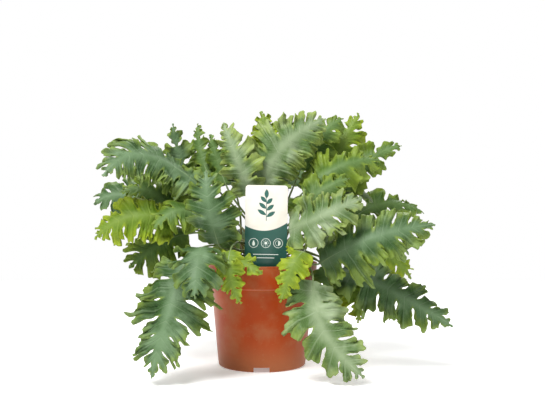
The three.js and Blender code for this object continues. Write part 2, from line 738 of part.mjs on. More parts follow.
// The frond where it is clear of the others: first as a whole, from a site near it, then lobe by lobe
function clearFrond(frond, sites, others) {
  let best = null;
  const attempt = (shrink, site, lift, swing) => {
    if (best?.volume <= OVERLAP_SEEN || frond.tip[2] + lift < LOWEST_TIP) return;
    const at = { ...moved(frond, swing, lift), half: frond.half * shrink, site };
    const volume = crossing(frondSolid(at, {}, CLEARANCE), others);
    if (!best || volume < best.volume - OVERLAP_SEEN) best = { at, volume };
  };
  for (const shrink of SHRINKS)
    for (const lift of LIFTS)
      for (const swing of SWINGS)
        for (const site of sites) attempt(shrink, site, lift, swing);
  const changes = {};
  for (let i = 0; i < frond.pairs * 2 && best.volume > OVERLAP_SEEN; i++) {
    let chosen = { volume: best.volume, bend: BENDS[0] };
    for (const bend of BENDS.slice(1)) {
      const volume = crossing(frondSolid(best.at, { ...changes, [i]: bend }, CLEARANCE), others);
      if (volume < chosen.volume - OVERLAP_SEEN) chosen = { volume, bend };
    }
    if (chosen.bend !== BENDS[0]) changes[i] = chosen.bend;
    best.volume = chosen.volume;
  }
  return { at: best.at, changes };
}

// The fronds at the back, from the tiers
function backFronds() {
  const draw = random(BACK.seed);
  const fronds = [];
  for (let i = 0; i < BACK.count; i++) {
    const tier = BACK_TIERS[i % BACK_TIERS.length];
    const turn = BACK.first + BACK.step * i + draw(-5, 5);
    const stretch = draw(0.92, 1.06);
    const around = ([reach, z], swing) => {
      const angle = radians(turn + swing);
      return [reach * stretch * Math.cos(angle), reach * stretch * Math.sin(angle), z];
    };
    const bow = draw(-8, 8);
    fronds.push({
      ...tier,
      name: "back_" + (i + 1),
      knee: around(tier.knee, 0),
      mid: around(tier.mid, bow / 2),
      tip: around(tier.tip, bow),
      face: [0.4 * Math.cos(radians(turn)), 0.4 * Math.sin(radians(turn)), 1],
      cut: draw(0.34, 0.46),
    });
  }
  return fronds;
}

// The free rooting sites nearest to below a frond's knee
function nearSites(frond, free) {
  const [x, y] = frond.knee;
  const inward = Math.min(1, RHIZOME.reach / Math.hypot(x, y));
  const distance = (site) => Math.hypot(site[0] - x * inward, site[1] - y * inward);
  return [...free].sort((a, b) => distance(a) - distance(b)).slice(0, SITES_TRIED);
}

const potPlant = new THREE.Group();

function show(name, solid, color, roughness, metalness = 0) {
  const material = new THREE.MeshStandardMaterial({ color, roughness, metalness });
  const mesh = new THREE.Mesh(geometryOf(solid), material);
  mesh.name = name;
  potPlant.add(mesh);
}

const fixed = { pot: potSolid(), soil: soilSolid(), rhizome: rhizomeSolid(), label: labelSolid(0) };
show("pot", fixed.pot, "#a94f2c", 0.42);
show("soil", fixed.soil, "#2e2219", 0.95);
show("rhizome", fixed.rhizome, "#8a6a35", 0.9);
show("label", fixed.label, "#ece7de", 0.35);

const placed = Object.values(fixed).map((solid) => ({ solid, box: solid.boundingBox() }));
const free = rootSites();
for (const frond of [...FRONT_FRONDS, ...backFronds(), ...FILLING_FRONDS]) {
  const seed = seedOf(frond.name);
  const own = { ...frond, seed, twist: random(seed + 1)(-26, 26) };
  const { at, changes } = clearFrond(own, nearSites(own, free), placed);
  const solid = frondSolid(at, changes);
  free.splice(free.indexOf(at.site), 1);
  placed.push({ solid, box: solid.boundingBox() });
  show("frond_" + frond.name, solid, TONE[frond.tone], 0.6);
}

export default potPlant;
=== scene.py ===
"""A davana golden polypody in a plastic nursery pot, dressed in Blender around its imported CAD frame.

Sizes and points are millimetres until a mesh is placed, which is where they become metres. The origin is the
middle of the pot's foot, +Z is up, and the label faces -Y.
"""

import logging
import math
from collections.abc import Callable, Iterator, Sequence
from contextlib import contextmanager
from dataclasses import dataclass, replace
from enum import Enum

import bpy
import numpy as np
from mathutils import Euler, Matrix, Vector, noise


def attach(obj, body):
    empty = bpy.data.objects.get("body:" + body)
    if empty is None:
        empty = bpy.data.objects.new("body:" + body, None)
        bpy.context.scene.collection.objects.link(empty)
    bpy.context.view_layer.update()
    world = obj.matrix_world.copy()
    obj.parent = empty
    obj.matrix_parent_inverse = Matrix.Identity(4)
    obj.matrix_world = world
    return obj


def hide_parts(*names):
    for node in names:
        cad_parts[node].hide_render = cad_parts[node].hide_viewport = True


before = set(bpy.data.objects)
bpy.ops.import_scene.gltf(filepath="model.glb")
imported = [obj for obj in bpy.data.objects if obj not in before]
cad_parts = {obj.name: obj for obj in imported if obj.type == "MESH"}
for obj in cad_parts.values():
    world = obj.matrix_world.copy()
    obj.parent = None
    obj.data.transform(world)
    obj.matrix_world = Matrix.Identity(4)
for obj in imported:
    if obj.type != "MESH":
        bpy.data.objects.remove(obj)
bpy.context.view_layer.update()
BODY = "root"
MM = 0.001
LOG = logging.getLogger("potted_fern")

Draw = Callable[[float, float], float]
Inputs = dict[str | int, object]
Outline = list[tuple[float, float]]
Spot = tuple[float, ...]
Grid = dict[str, np.ndarray]
Colour = tuple[float, float, float, float]


class Tone(Enum):
    """The leaf colours that a frond may have."""

    BLUE = "blue"
    GREEN = "green"
    PALE = "pale"
    LIME = "lime"


# Numbers


# What the solids' own stream of numbers runs on
STREAM_SIZE, STREAM_STRIDE, STREAM_STEP, SEED_SPREAD = 4294967296, 1664525, 1013904223, 2654435761


def seeded(seed: int) -> Draw:
    """A seeded stream of numbers, the same as the one that the solids are drawn from.

    Args:
        seed: any whole number.

    Returns:
        A function that gives the next number between two limits.
    """
    state = seed * SEED_SPREAD % STREAM_SIZE

    def draw(low: float, high: float) -> float:
        """The next number from low to high.

        Args:
            low: the lower limit.
            high: the upper limit.

        Returns:
            The number.
        """
        nonlocal state
        state = (state * STREAM_STRIDE + STREAM_STEP) % STREAM_SIZE
        return low + (high - low) * state / STREAM_SIZE

    return draw


def seed_of(name: str) -> int:
    """The seed that a frond's name stands for."""
    return sum(ord(letter) * (i + 1) for i, letter in enumerate(name))


def mix(low: float, high: float, share: float) -> float:
    """The number that lies at a share of the way from low to high."""
    return low + (high - low) * share


def smooth(value: np.ndarray | float, low: float, high: float) -> np.ndarray:
    """Rises smoothly from 0 at low to 1 at high."""
    share = np.clip((np.asarray(value, float) - low) / (high - low), 0, 1)
    return share * share * (3 - 2 * share)


def unit(vectors: np.ndarray) -> np.ndarray:
    """Vectors, with their last axis as their coordinates, brought to length 1."""
    vectors = np.asarray(vectors, float)
    return vectors / np.maximum(np.linalg.norm(vectors, axis=-1, keepdims=True), 1e-12)


def even_curve(points: np.ndarray, count: int, tension: float = 0.5) -> np.ndarray:
    """A smooth curve through points, sampled at even steps of its length.

    Args:
        points: the points in order, one a row.
        count: how many samples to give, with both ends among them.
        tension: how strongly the curve swings at its points.

    Returns:
        The samples, one a row.
    """
    padded = np.vstack([2 * points[0] - points[1], points, 2 * points[-1] - points[-2]])
    shares = np.linspace(0, 1, 9)[:-1, None]
    drawn = []
    for before, start, end, after in zip(padded, padded[1:], padded[2:], padded[3:]):
        leave, arrive = tension * (end - before), tension * (after - start)
        drawn.append(
            (2 * shares**3 - 3 * shares**2 + 1) * start
            + (shares**3 - 2 * shares**2 + shares) * leave
            + (-2 * shares**3 + 3 * shares**2) * end
            + (shares**3 - shares**2) * arrive
        )
    line = np.vstack([*drawn, points[-1:]])
    travelled = np.concatenate([[0], np.cumsum(np.linalg.norm(np.diff(line, axis=0), axis=1))])
    even = np.linspace(0, travelled[-1], count)
    return np.column_stack([np.interp(even, travelled, line[:, i]) for i in range(line.shape[1])])


# Modelling


def only(*pieces: bpy.types.Object) -> None:
    """Selects just these objects, and makes the first of them the active one."""
    bpy.ops.object.select_all(action="DESELECT")
    for piece in pieces:
        piece.select_set(True)
    bpy.context.view_layer.objects.active = pieces[0]


@contextmanager
def editing(piece: bpy.types.Object) -> Iterator[None]:
    """Edit mode on one object, with all of it selected.

    Args:
        piece: the object.

    Returns:
        The time during which it is edited.
    """
    only(piece)
    bpy.ops.object.mode_set(mode="EDIT")
    bpy.ops.mesh.select_all(action="SELECT")
    yield
    bpy.ops.object.mode_set(mode="OBJECT")


def finished_by(piece: bpy.types.Object, kind: str, **settings: object) -> None:
    """Adds a modifier to a piece and applies it.

    Args:
        piece: the object.
        kind: the modifier's type.
        settings: the modifier's properties.
    """
    only(piece)
    modifier = piece.modifiers.new(kind.title(), kind)
    for name, value in settings.items():
        setattr(modifier, name, value)
    bpy.ops.object.modifier_apply(modifier=modifier.name)


def joined(name: str, pieces: Sequence[bpy.types.Object]) -> bpy.types.Object:
    """Several objects made one, named name.

    Args:
        name: the new piece's name.
        pieces: what is joined. The first is kept.

    Returns:
        The joined object.
    """
    only(*pieces)
    if len(pieces) > 1:
        bpy.ops.object.join()
    pieces[0].name = pieces[0].data.name = name
    return pieces[0]


def added(name: str) -> bpy.types.Object:
    """The object that an operator has just added, renamed and with its place put into its mesh.

    Args:
        name: the new piece's name.

    Returns:
        The object.
    """
    piece = bpy.context.active_object
    piece.name = piece.data.name = name
    piece.data.transform(piece.matrix_world)
    piece.matrix_world = Matrix.Identity(4)
    return piece


def smooth_shaded(piece: bpy.types.Object, angle: float = 180) -> None:
    """Shades a piece smoothly, apart from edges sharper than angle in degrees.

    Args:
        piece: the object.
        angle: the angle, or 180 for every edge smooth.
    """
    only(piece)
    if angle >= 180:
        bpy.ops.object.shade_smooth()
    else:
        bpy.ops.object.shade_smooth_by_angle(angle=math.radians(angle))


def set_points(piece: bpy.types.Object, points: np.ndarray) -> None:
    """Puts a mesh's vertices at points in millimetres."""
    piece.data.vertices.foreach_set("co", (np.asarray(points) * MM).astype(np.float32).ravel())
    piece.data.update()


def points_of(piece: bpy.types.Object) -> np.ndarray:
    """A mesh's vertices in millimetres, one a row.

    Args:
        piece: the mesh object.

    Returns:
        The points.
    """
    flat = np.zeros(len(piece.data.vertices) * 3, np.float32)
    piece.data.vertices.foreach_get("co", flat)
    return flat.reshape(-1, 3).astype(float) / MM


def set_attribute(piece: bpy.types.Object, name: str, values: np.ndarray | float) -> None:
    """Gives each vertex of a mesh a number that its material reads by name.

    Args:
        piece: the mesh object.
        name: the attribute's name.
        values: one number for all vertices, or one for each.
    """
    layer = piece.data.attributes.new(name, "FLOAT", "POINT")
    full = np.broadcast_to(np.asarray(values, np.float32), len(piece.data.vertices))
    layer.data.foreach_set("value", np.ascontiguousarray(full))


def spun(name: str, outline: Outline, steps: int) -> bpy.types.Object:
    """A solid of revolution about Z.

    Args:
        name: the piece's name.
        outline: radius and height of each point, from the axis below round to the axis above.
        steps: how many steps go once round.

    Returns:
        The closed mesh object.
    """
    bpy.ops.object.select_all(action="DESELECT")
    bpy.ops.mesh.primitive_plane_add(size=MM)
    piece = added(name)
    with editing(piece):
        bpy.ops.mesh.merge(type="CENTER")
        here = np.array(outline[0], float)
        bpy.ops.transform.translate(value=(here[0] * MM, 0, here[1] * MM))
        for there in outline[1:]:
            step = (np.array(there, float) - here) * MM
            bpy.ops.mesh.extrude_region_move(TRANSFORM_OT_translate={"value": (step[0], 0, step[1])})
            here = np.array(there, float)
        bpy.ops.mesh.select_all(action="SELECT")
        bpy.ops.mesh.spin(steps=steps, angle=2 * math.pi, center=(0, 0, 0), axis=(0, 0, 1))
        bpy.ops.mesh.select_all(action="SELECT")
        bpy.ops.mesh.remove_doubles(threshold=2e-6)
        bpy.ops.mesh.normals_make_consistent(inside=False)
    return piece


def rounded(outline: Outline, radius: float, steps: int = 4) -> Outline:
    """An outline with its corners rounded off.

    Args:
        outline: its points. The two ends stay as they are.
        radius: how far from a corner its rounding starts, where the edges are long enough.
        steps: how many edges a rounding has.

    Returns:
        The points of the rounded outline.
    """
    points = [np.array(p, float) for p in outline]
    result = [tuple(points[0])]
    for before, corner, after in zip(points, points[1:], points[2:]):
        back, ahead = before - corner, after - corner
        start = corner + unit(back) * min(radius, np.linalg.norm(back) * 0.45)
        end = corner + unit(ahead) * min(radius, np.linalg.norm(ahead) * 0.45)
        for share in np.linspace(0, 1, steps + 1):
            result.append(tuple((1 - share) ** 2 * start + 2 * share * (1 - share) * corner + share**2 * end))
    return [*result, tuple(points[-1])]


def tube(name: str, points: np.ndarray, radii: np.ndarray, roundness: int = 1) -> bpy.types.Object:
    """A tube with closed ends along a line.

    Args:
        name: the piece's name.
        points: the line's points in millimetres.
        radii: the tube's radius at each point, in millimetres.
        roundness: the curve's bevel resolution.

    Returns:
        The tube as a mesh object.
    """
    bpy.ops.object.select_all(action="DESELECT")
    bpy.ops.curve.primitive_nurbs_path_add()
    piece = bpy.context.active_object
    piece.name = name
    curve, spline = piece.data, piece.data.splines[0]
    curve.bevel_depth = MM
    curve.bevel_resolution = roundness
    curve.use_fill_caps = True
    spline.type = "POLY"
    spline.points.add(len(points) - len(spline.points))
    spline.points.foreach_set("co", np.column_stack([points * MM, np.ones(len(points))]).ravel())
    spline.points.foreach_set("radius", np.asarray(radii, float))
    only(piece)
    bpy.ops.object.convert(target="MESH")
    return piece


def scattered(name: str, model: bpy.types.Object, places: Sequence[Matrix]) -> bpy.types.Object:
    """Copies of one small model at many places, as one mesh. The model itself is removed.

    Args:
        name: the new piece's name.
        model: the object that is copied, modelled about its origin.
        places: where each copy goes, in metres.

    Returns:
        The piece that holds all copies.
    """
    copies = []
    for place in places:
        copy = bpy.data.objects.new(name, model.data.copy())
        bpy.context.scene.collection.objects.link(copy)
        copy.matrix_world = place
        copies.append(copy)
    bpy.data.objects.remove(model)
    bpy.context.view_layer.update()
    joined(name, copies)
    return added(name)


def dressed(
    piece: bpy.types.Object, slot: str, materials: Sequence[bpy.types.Material], *replaced: str
) -> bpy.types.Object:
    """Gives a piece its materials, and its place in the frame.

    Args:
        piece: the finished object.
        slot: the name of a material slot; not used.
        materials: its materials in the order of its faces' indices, or none to leave them as they are.
        replaced: the CAD nodes that it stands for.

    Returns:
        The same object.
    """
    if materials:
        piece.data.materials.clear()
        for material in materials:
            piece.data.materials.append(material)
    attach(piece, BODY)
    if replaced:
        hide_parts(*replaced)
    piece.data.calc_loop_triangles()
    LOG.info("%s: %d triangles", piece.name, len(piece.data.loop_triangles))
    return piece


# Finishes


def linear(colour: str) -> Colour:
    """A hex colour in sRGB, as the linear colour that shaders take.

    Args:
        colour: the hex value.

    Returns:
        Red, green, blue and alpha.
    """
    channels = [int(colour[i : i + 2], 16) / 255 for i in (1, 3, 5)]
    red, green, blue = (c / 12.92 if c <= 0.04045 else ((c + 0.055) / 1.055) ** 2.4 for c in channels)
    return red, green, blue, 1.0


def add_node(
    tree: bpy.types.NodeTree,
    kind: str,
    inputs: Inputs | None = None,
    output: int | str = 0,
    stops: Sequence[tuple[float, Colour]] = (),
    **settings: object,
) -> bpy.types.NodeSocket | None:
    """Adds a node to a material, with its settings and links.

    Args:
        tree: the material's node tree.
        kind: the node's type.
        inputs: for each input by name or number, its value or the output that it is linked to.
        output: the output that is wanted, by name or number.
        stops: position and colour of each stop, for a colour ramp.
        settings: the node's own properties.

    Returns:
        The new node's output, or None for a node that has none.
    """
    node = tree.nodes.new(kind)
    for name, value in settings.items():
        setattr(node, name, value)
    for name, value in (inputs or {}).items():
        if isinstance(value, bpy.types.NodeSocket):
            tree.links.new(value, node.inputs[name])
        else:
            node.inputs[name].default_value = value
    if stops:
        while len(node.color_ramp.elements) < len(stops):
            node.color_ramp.elements.new(0.5)
        for element, (position, colour) in zip(node.color_ramp.elements, stops):
            element.position, element.color = position, colour
    return node.outputs[output] if node.outputs else None


COORDINATES, READING, NOISE = "ShaderNodeTexCoord", "ShaderNodeAttribute", "ShaderNodeTexNoise"
MATH, RANGE, MIX, BUMP = "ShaderNodeMath", "ShaderNodeMapRange", "ShaderNodeMix", "ShaderNodeBump"
RAMP, SURFACE = "ShaderNodeValToRGB", "ShaderNodeBsdfPrincipled"
# A colour mix has its share, first and second colour at these inputs, and its result at this output
SHARE, FIRST, SECOND, MIXED = 0, 6, 7, 2


def span(value: object, low: float, high: float, to_low: float, to_high: float) -> Inputs:
    """The inputs that take a value from one range to another."""
    return {"Value": value, "From Min": low, "From Max": high, "To Min": to_low, "To Max": to_high}


def spots(place: bpy.types.NodeSocket, size: float, detail: float = 3) -> Inputs:
    """The inputs of a noise whose spots are about size millimetres wide."""
    return {"Vector": place, "Scale": 1 / (size * MM), "Detail": detail, "Roughness": 0.55}


@dataclass(frozen=True)
class Finish:
    """What every finish has: a name, and the way to a material."""

    name: str

    def make(self) -> bpy.types.Material:
        """The finish as a new material.

        Returns:
            The material.
        """
        material = bpy.data.materials.new(self.name)
        material.use_nodes = True
        material.node_tree.nodes.clear()
        surface = self.surface(material.node_tree)
        add_node(material.node_tree, "ShaderNodeOutputMaterial", {"Surface": surface})
        return material

    def surface(self, tree: bpy.types.NodeTree) -> bpy.types.NodeSocket:
        """Draws the finish.

        Args:
            tree: the material's empty node tree.

        Returns:
            The output that goes to the material's surface.
        """
        return add_node(tree, SURFACE)


@dataclass(frozen=True)
class WaxyLeaf(Finish):
    """Fern blade under a bloom of wax.

    The green is deep where the wax is thin. It turns bluish and milky in patches and beside the rib, where
    the wax is thick. Margins yellow, and the blade is thin enough that light comes through.
    """

    body: str = "#4c6b3e"
    bloom: str = "#86a08a"
    edge: str = "#8a9c46"
    vein: str = "#a3b596"
    glow: str = "#7f9c34"
    roughness: float = 0.5
    through: float = 0.16
    edge_from: float = 0.35
    waxed: float = 0.8
    haze: float = 13

    def colour(self, tree: bpy.types.NodeTree, place: bpy.types.NodeSocket) -> bpy.types.NodeSocket:
        """The blade's colour under its veins.

        Args:
            tree: the material's node tree.
            place: the place on the piece.

        Returns:
            The colour.
        """
        margin = add_node(tree, READING, output="Fac", attribute_name="leaf_margin")
        age = add_node(tree, READING, output="Fac", attribute_name="leaf_age")
        out = add_node(tree, READING, output="Fac", attribute_name="leaf_out")
        mottle = add_node(tree, NOISE, spots(place, 15))
        outward = add_node(tree, MATH, {0: mottle, 1: 0.9, 2: margin}, operation="MULTIPLY_ADD")
        outward = add_node(tree, MATH, {0: age, 1: 0.2, 2: outward}, operation="MULTIPLY_ADD")
        to_edge = span(outward, self.edge_from + 0.45, 1.5, 0, 1)
        to_edge = add_node(tree, RANGE, to_edge, interpolation_type="SMOOTHSTEP")
        # Wax lies in patches of about 30 mm, and in a haze along the rib
        patches = add_node(tree, NOISE, spots(place, 30, 4))
        patches = span(patches, 0.42, 0.68, 0, self.waxed)
        patches = add_node(tree, RANGE, patches, interpolation_type="SMOOTHSTEP")
        reached = add_node(tree, MATH, {0: mottle, 1: -14.0, 2: out}, operation="MULTIPLY_ADD")
        band = span(reached, -9, self.haze - 7, 0.6, 0)
        band = add_node(tree, RANGE, band, interpolation_type="SMOOTHSTEP")
        wax = add_node(tree, MATH, {0: patches, 1: band}, operation="MAXIMUM")
        green = {SHARE: to_edge, FIRST: linear(self.body), SECOND: linear(self.edge)}
        green = add_node(tree, MIX, green, MIXED, data_type="RGBA")
        thin = add_node(tree, MATH, {0: to_edge, 1: -0.6, 2: 1.0}, operation="MULTIPLY_ADD")
        wax = add_node(tree, MATH, {0: wax, 1: thin}, operation="MULTIPLY")
        bloomed = {SHARE: wax, FIRST: green, SECOND: linear(self.bloom)}
        return add_node(tree, MIX, bloomed, MIXED, data_type="RGBA")

    def veins(self, tree: bpy.types.NodeTree, place: bpy.types.NodeSocket) -> bpy.types.NodeSocket:
        """How much of a vein there is, from 0 to 1.

        Args:
            tree: the material's node tree.
            place: the place on the piece.

        Returns:
            The share.
        """
        aside = add_node(tree, READING, output="Fac", attribute_name="leaf_aside")
        reach = add_node(tree, READING, output="Fac", attribute_name="leaf_reach")
        # A midrib of about 0.5 mm in each lobe, and side veins 3.2 mm apart that leave it at a slant
        midrib = add_node(tree, RANGE, span(aside, 0.1, 0.9, 0.3, 0), interpolation_type="SMOOTHSTEP")
        slant = add_node(tree, MATH, {0: aside, 1: -1.1, 2: reach}, operation="MULTIPLY_ADD")
        wander = add_node(tree, NOISE, spots(place, 6))
        bent = add_node(tree, MATH, {0: wander, 1: 5.0, 2: slant}, operation="MULTIPLY_ADD")
        apart = add_node(tree, MATH, {0: bent, 1: 1.6}, operation="PINGPONG")
        side = add_node(tree, RANGE, span(apart, 0, 0.5, 0.12, 0), interpolation_type="SMOOTHSTEP")
        return add_node(tree, MATH, {0: midrib, 1: side}, operation="MAXIMUM")

    def surface(self, tree: bpy.types.NodeTree) -> bpy.types.NodeSocket:
        """Draws the finish.

        Args:
            tree: the material's empty node tree.

        Returns:
            The output that goes to the material's surface.
        """
        place = add_node(tree, COORDINATES, output="Object")
        colour, veins = self.colour(tree, place), self.veins(tree, place)
        veined = {SHARE: veins, FIRST: colour, SECOND: linear(self.vein)}
        colour = add_node(tree, MIX, veined, MIXED, data_type="RGBA")
        grain = add_node(tree, NOISE, spots(place, 1.8))
        height = add_node(tree, MATH, {0: veins, 1: -0.8, 2: grain}, operation="MULTIPLY_ADD")
        rough = add_node(tree, NOISE, spots(place, 9))
        rough = add_node(tree, RANGE, span(rough, 0.3, 0.7, self.roughness - 0.07, self.roughness + 0.08))
        shader = {
            "Base Color": colour,
            "Normal": add_node(tree, BUMP, {"Height": height, "Distance": 0.25 * MM}),
            "Roughness": rough,
            "IOR": 1.42,
            "Specular IOR Level": 0.26,
        }
        lit = {SHARE: 0.6, FIRST: colour, SECOND: linear(self.glow)}
        lit = add_node(tree, MIX, lit, MIXED, data_type="RGBA")
        glow = add_node(tree, "ShaderNodeBsdfTranslucent", {"Color": lit})
        both = {"Fac": self.through, 1: add_node(tree, SURFACE, shader), 2: glow}
        return add_node(tree, "ShaderNodeMixShader", both)


@dataclass(frozen=True)
class FernStalk(Finish):
    """Wiry stalk and rib: brown and slightly glossy at the foot, and pale green where it bears the blade."""

    foot: str = "#5a3c1d"
    stem: str = "#5d6a2c"
    rib: str = "#7f9566"

    def surface(self, tree: bpy.types.NodeTree) -> bpy.types.NodeSocket:
        """Draws the finish.

        Args:
            tree: the material's empty node tree.

        Returns:
            The output that goes to the material's surface.
        """
        place = add_node(tree, COORDINATES, output="Object")
        share = add_node(tree, READING, output="Fac", attribute_name="stalk_share")
        streaks = add_node(tree, NOISE, spots(place, 3))
        share = add_node(tree, MATH, {0: streaks, 1: 0.2, 2: share}, operation="MULTIPLY_ADD")
        stops = ((0.1, self.foot), (0.3, self.stem), (0.58, self.rib), (1, self.rib))
        colour = add_node(tree, RAMP, {"Fac": share}, stops=[(at, linear(shade)) for at, shade in stops])
        grain = add_node(tree, NOISE, spots(place, 0.8))
        bump = add_node(tree, BUMP, {"Height": grain, "Distance": 0.12 * MM})
        return add_node(tree, SURFACE, {"Base Color": colour, "Normal": bump, "Roughness": 0.45, "IOR": 1.45})


@dataclass(frozen=True)
class MouldedPolypropylene(Finish):
    """Injection-moulded polypropylene in brick red.

    Satin and a little cloudy, with a bloom of dust from handling. Towards the foot the colour pales further:
    a painted reflection of the white floor.
    """

    colour: str = "#a23c07"
    dull: str = "#a26c48"
    roughness: float = 0.4
    # Height over which the painted reflection of the white floor fades out
    floor_reflection_height: float = 42

    def surface(self, tree: bpy.types.NodeTree) -> bpy.types.NodeSocket:
        """Draws the finish.

        Args:
            tree: the material's empty node tree.

        Returns:
            The output that goes to the material's surface.
        """
        place = add_node(tree, COORDINATES, output="Object")
        height = add_node(tree, "ShaderNodeSeparateXYZ", {"Vector": place}, "Z")
        cloud = add_node(tree, NOISE, spots(place, 26, 4))
        cloud = add_node(tree, RANGE, span(cloud, 0.38, 0.72, 0, 0.5), interpolation_type="SMOOTHSTEP")
        # Painted reflection of the white floor: the pot's colour pales towards the foot
        painted_floor_reflection = span(height, 0, self.floor_reflection_height * MM, 0.65, 0)
        painted_floor_reflection = add_node(tree, RANGE, painted_floor_reflection, interpolation_type="SMOOTHSTEP")
        scuff = add_node(tree, NOISE, spots(place, 4, 5))
        scuff = add_node(tree, RANGE, span(scuff, 0.6, 0.75, 0, 0.3), interpolation_type="SMOOTHSTEP")
        # Real cloud and scuffs, together with the painted floor reflection near the foot
        dust_and_reflection = add_node(tree, MATH, {0: cloud, 1: painted_floor_reflection}, operation="MAXIMUM")
        dust_and_reflection = add_node(tree, MATH, {0: dust_and_reflection, 1: scuff}, operation="ADD", use_clamp=True)
        mixed = {SHARE: dust_and_reflection, FIRST: linear(self.colour), SECOND: linear(self.dull)}
        # Moulding texture of about 0.5 mm, drawn at 1 mm so that it shows
        grain = add_node(tree, NOISE, spots(place, 1))
        shader = {
            "Base Color": add_node(tree, MIX, mixed, MIXED, data_type="RGBA"),
            "Roughness": add_node(tree, RANGE, span(dust_and_reflection, 0, 0.8, self.roughness, self.roughness + 0.16)),
            "Normal": add_node(tree, BUMP, {"Height": grain, "Distance": 0.05 * MM}),
            "IOR": 1.49,
            "Specular IOR Level": 0.12,
            "Sheen Weight": 0.34,
            "Sheen Roughness": 0.4,
        }
        return add_node(tree, SURFACE, shader)


@dataclass(frozen=True)
class PeatCompost(Finish):
    """Moist peat compost: nearly black brown, dull, with lighter fibres and grains of about 2 mm."""

    dark: str = "#1d140d"
    light: str = "#4a3624"

    def surface(self, tree: bpy.types.NodeTree) -> bpy.types.NodeSocket:
        """Draws the finish.

        Args:
            tree: the material's empty node tree.

        Returns:
            The output that goes to the material's surface.
        """
        place = add_node(tree, COORDINATES, output="Object")
        grains = add_node(tree, NOISE, spots(place, 2.2, 5))
        grains = add_node(tree, RANGE, span(grains, 0.35, 0.75, 0, 1), interpolation_type="SMOOTHSTEP")
        mixed = {SHARE: grains, FIRST: linear(self.dark), SECOND: linear(self.light)}
        grit = add_node(tree, NOISE, spots(place, 1.2, 4))
        shader = {
            "Base Color": add_node(tree, MIX, mixed, MIXED, data_type="RGBA"),
            "Roughness": add_node(tree, RANGE, span(grains, 0, 1, 0.78, 0.95)),
            "Normal": add_node(tree, BUMP, {"Height": grit, "Distance": 0.6 * MM}),
        }
        return add_node(tree, SURFACE, shader)


@dataclass(frozen=True)
class GoldenFelt(Finish):
    """Felt of golden-brown scales on a fern's rhizome: matt and streaky, with a faint silky sheen."""

    dark: str = "#6b431c"
    light: str = "#c08a45"

    def surface(self, tree: bpy.types.NodeTree) -> bpy.types.NodeSocket:
        """Draws the finish.

        Args:
            tree: the material's empty node tree.

        Returns:
            The output that goes to the material's surface.
        """
        place = add_node(tree, COORDINATES, output="Object")
        streaks = add_node(tree, NOISE, spots(place, 1.8, 4))
        streaks = add_node(tree, RANGE, span(streaks, 0.3, 0.7, 0, 1), interpolation_type="SMOOTHSTEP")
        mixed = {SHARE: streaks, FIRST: linear(self.dark), SECOND: linear(self.light)}
        fuzz = add_node(tree, NOISE, spots(place, 0.7))
        shader = {
            "Base Color": add_node(tree, MIX, mixed, MIXED, data_type="RGBA"),
            "Normal": add_node(tree, BUMP, {"Height": fuzz, "Distance": 0.3 * MM}),
            "Roughness": 0.8,
            "Sheen Weight": 0.3,
        }
        return add_node(tree, SURFACE, shader)


@dataclass(frozen=True)
class PrintedPolystyrene(Finish):
    """Printed polystyrene sheet.

    Smooth and slightly glossy, off-white above a sagging arc and dark green below it.
    """

    paper: str = "#e9e4d9"
    aged: str = "#d8d0bf"
    ink: str = "#1d5347"
    middle: float = 2.6
    arc_end: float = 154
    arc_sag: float = 6.8
    half_width: float = 21.8
    soft_edge: float = 0.15

    def surface(self, tree: bpy.types.NodeTree) -> bpy.types.NodeSocket:
        """Draws the finish.

        Args:
            tree: the material's empty node tree.

        Returns:
            The output that goes to the material's surface.
        """
        place = add_node(tree, COORDINATES, output="Object")
        across = add_node(tree, "ShaderNodeSeparateXYZ", {"Vector": place}, "X")
        height = add_node(tree, "ShaderNodeSeparateXYZ", {"Vector": place}, "Z")
        across = add_node(tree, MATH, {0: across, 1: self.middle * MM}, operation="SUBTRACT")
        across = add_node(tree, MATH, {0: across, 1: self.half_width * MM}, operation="DIVIDE")
        rise = add_node(tree, MATH, {0: across, 1: across}, operation="MULTIPLY")
        lowest = (self.arc_end - self.arc_sag) * MM
        arc = add_node(tree, MATH, {0: rise, 1: self.arc_sag * MM, 2: lowest}, operation="MULTIPLY_ADD")
        above = add_node(tree, MATH, {0: height, 1: arc}, operation="SUBTRACT")
        printed = add_node(tree, RANGE, span(above, -self.soft_edge * MM, self.soft_edge * MM, 1, 0))
        tint = add_node(tree, NOISE, spots(place, 18))
        tint = add_node(tree, RANGE, span(tint, 0.35, 0.7, 0, 0.5), interpolation_type="SMOOTHSTEP")
        sheet = {SHARE: tint, FIRST: linear(self.paper), SECOND: linear(self.aged)}
        sheet = add_node(tree, MIX, sheet, MIXED, data_type="RGBA")
        both = {SHARE: printed, FIRST: sheet, SECOND: linear(self.ink)}
        rough = add_node(tree, NOISE, spots(place, 7))
        shader = {
            "Base Color": add_node(tree, MIX, both, MIXED, data_type="RGBA"),
            "Roughness": add_node(tree, RANGE, span(rough, 0.3, 0.7, 0.34, 0.44)),
            "IOR": 1.55,
        }
        return add_node(tree, SURFACE, shader)


@dataclass(frozen=True)
class PrintInk(Finish):
    """Offset ink on plastic: flat, even and a little glossy, with the slight mottle of a printed solid."""

    colour: str = "#265c52"
    worn: str = "#8fa8a0"

    def surface(self, tree: bpy.types.NodeTree) -> bpy.types.NodeSocket:
        """Draws the finish.

        Args:
            tree: the material's empty node tree.

        Returns:
            The output that goes to the material's surface.
        """
        place = add_node(tree, COORDINATES, output="Object")
        mottle = add_node(tree, RANGE, span(add_node(tree, NOISE, spots(place, 1.5)), 0.4, 0.7, 0, 0.12))
        mixed = {SHARE: mottle, FIRST: linear(self.colour), SECOND: linear(self.worn)}
        colour = add_node(tree, MIX, mixed, MIXED, data_type="RGBA")
        return add_node(tree, SURFACE, {"Base Color": colour, "Roughness": 0.38})


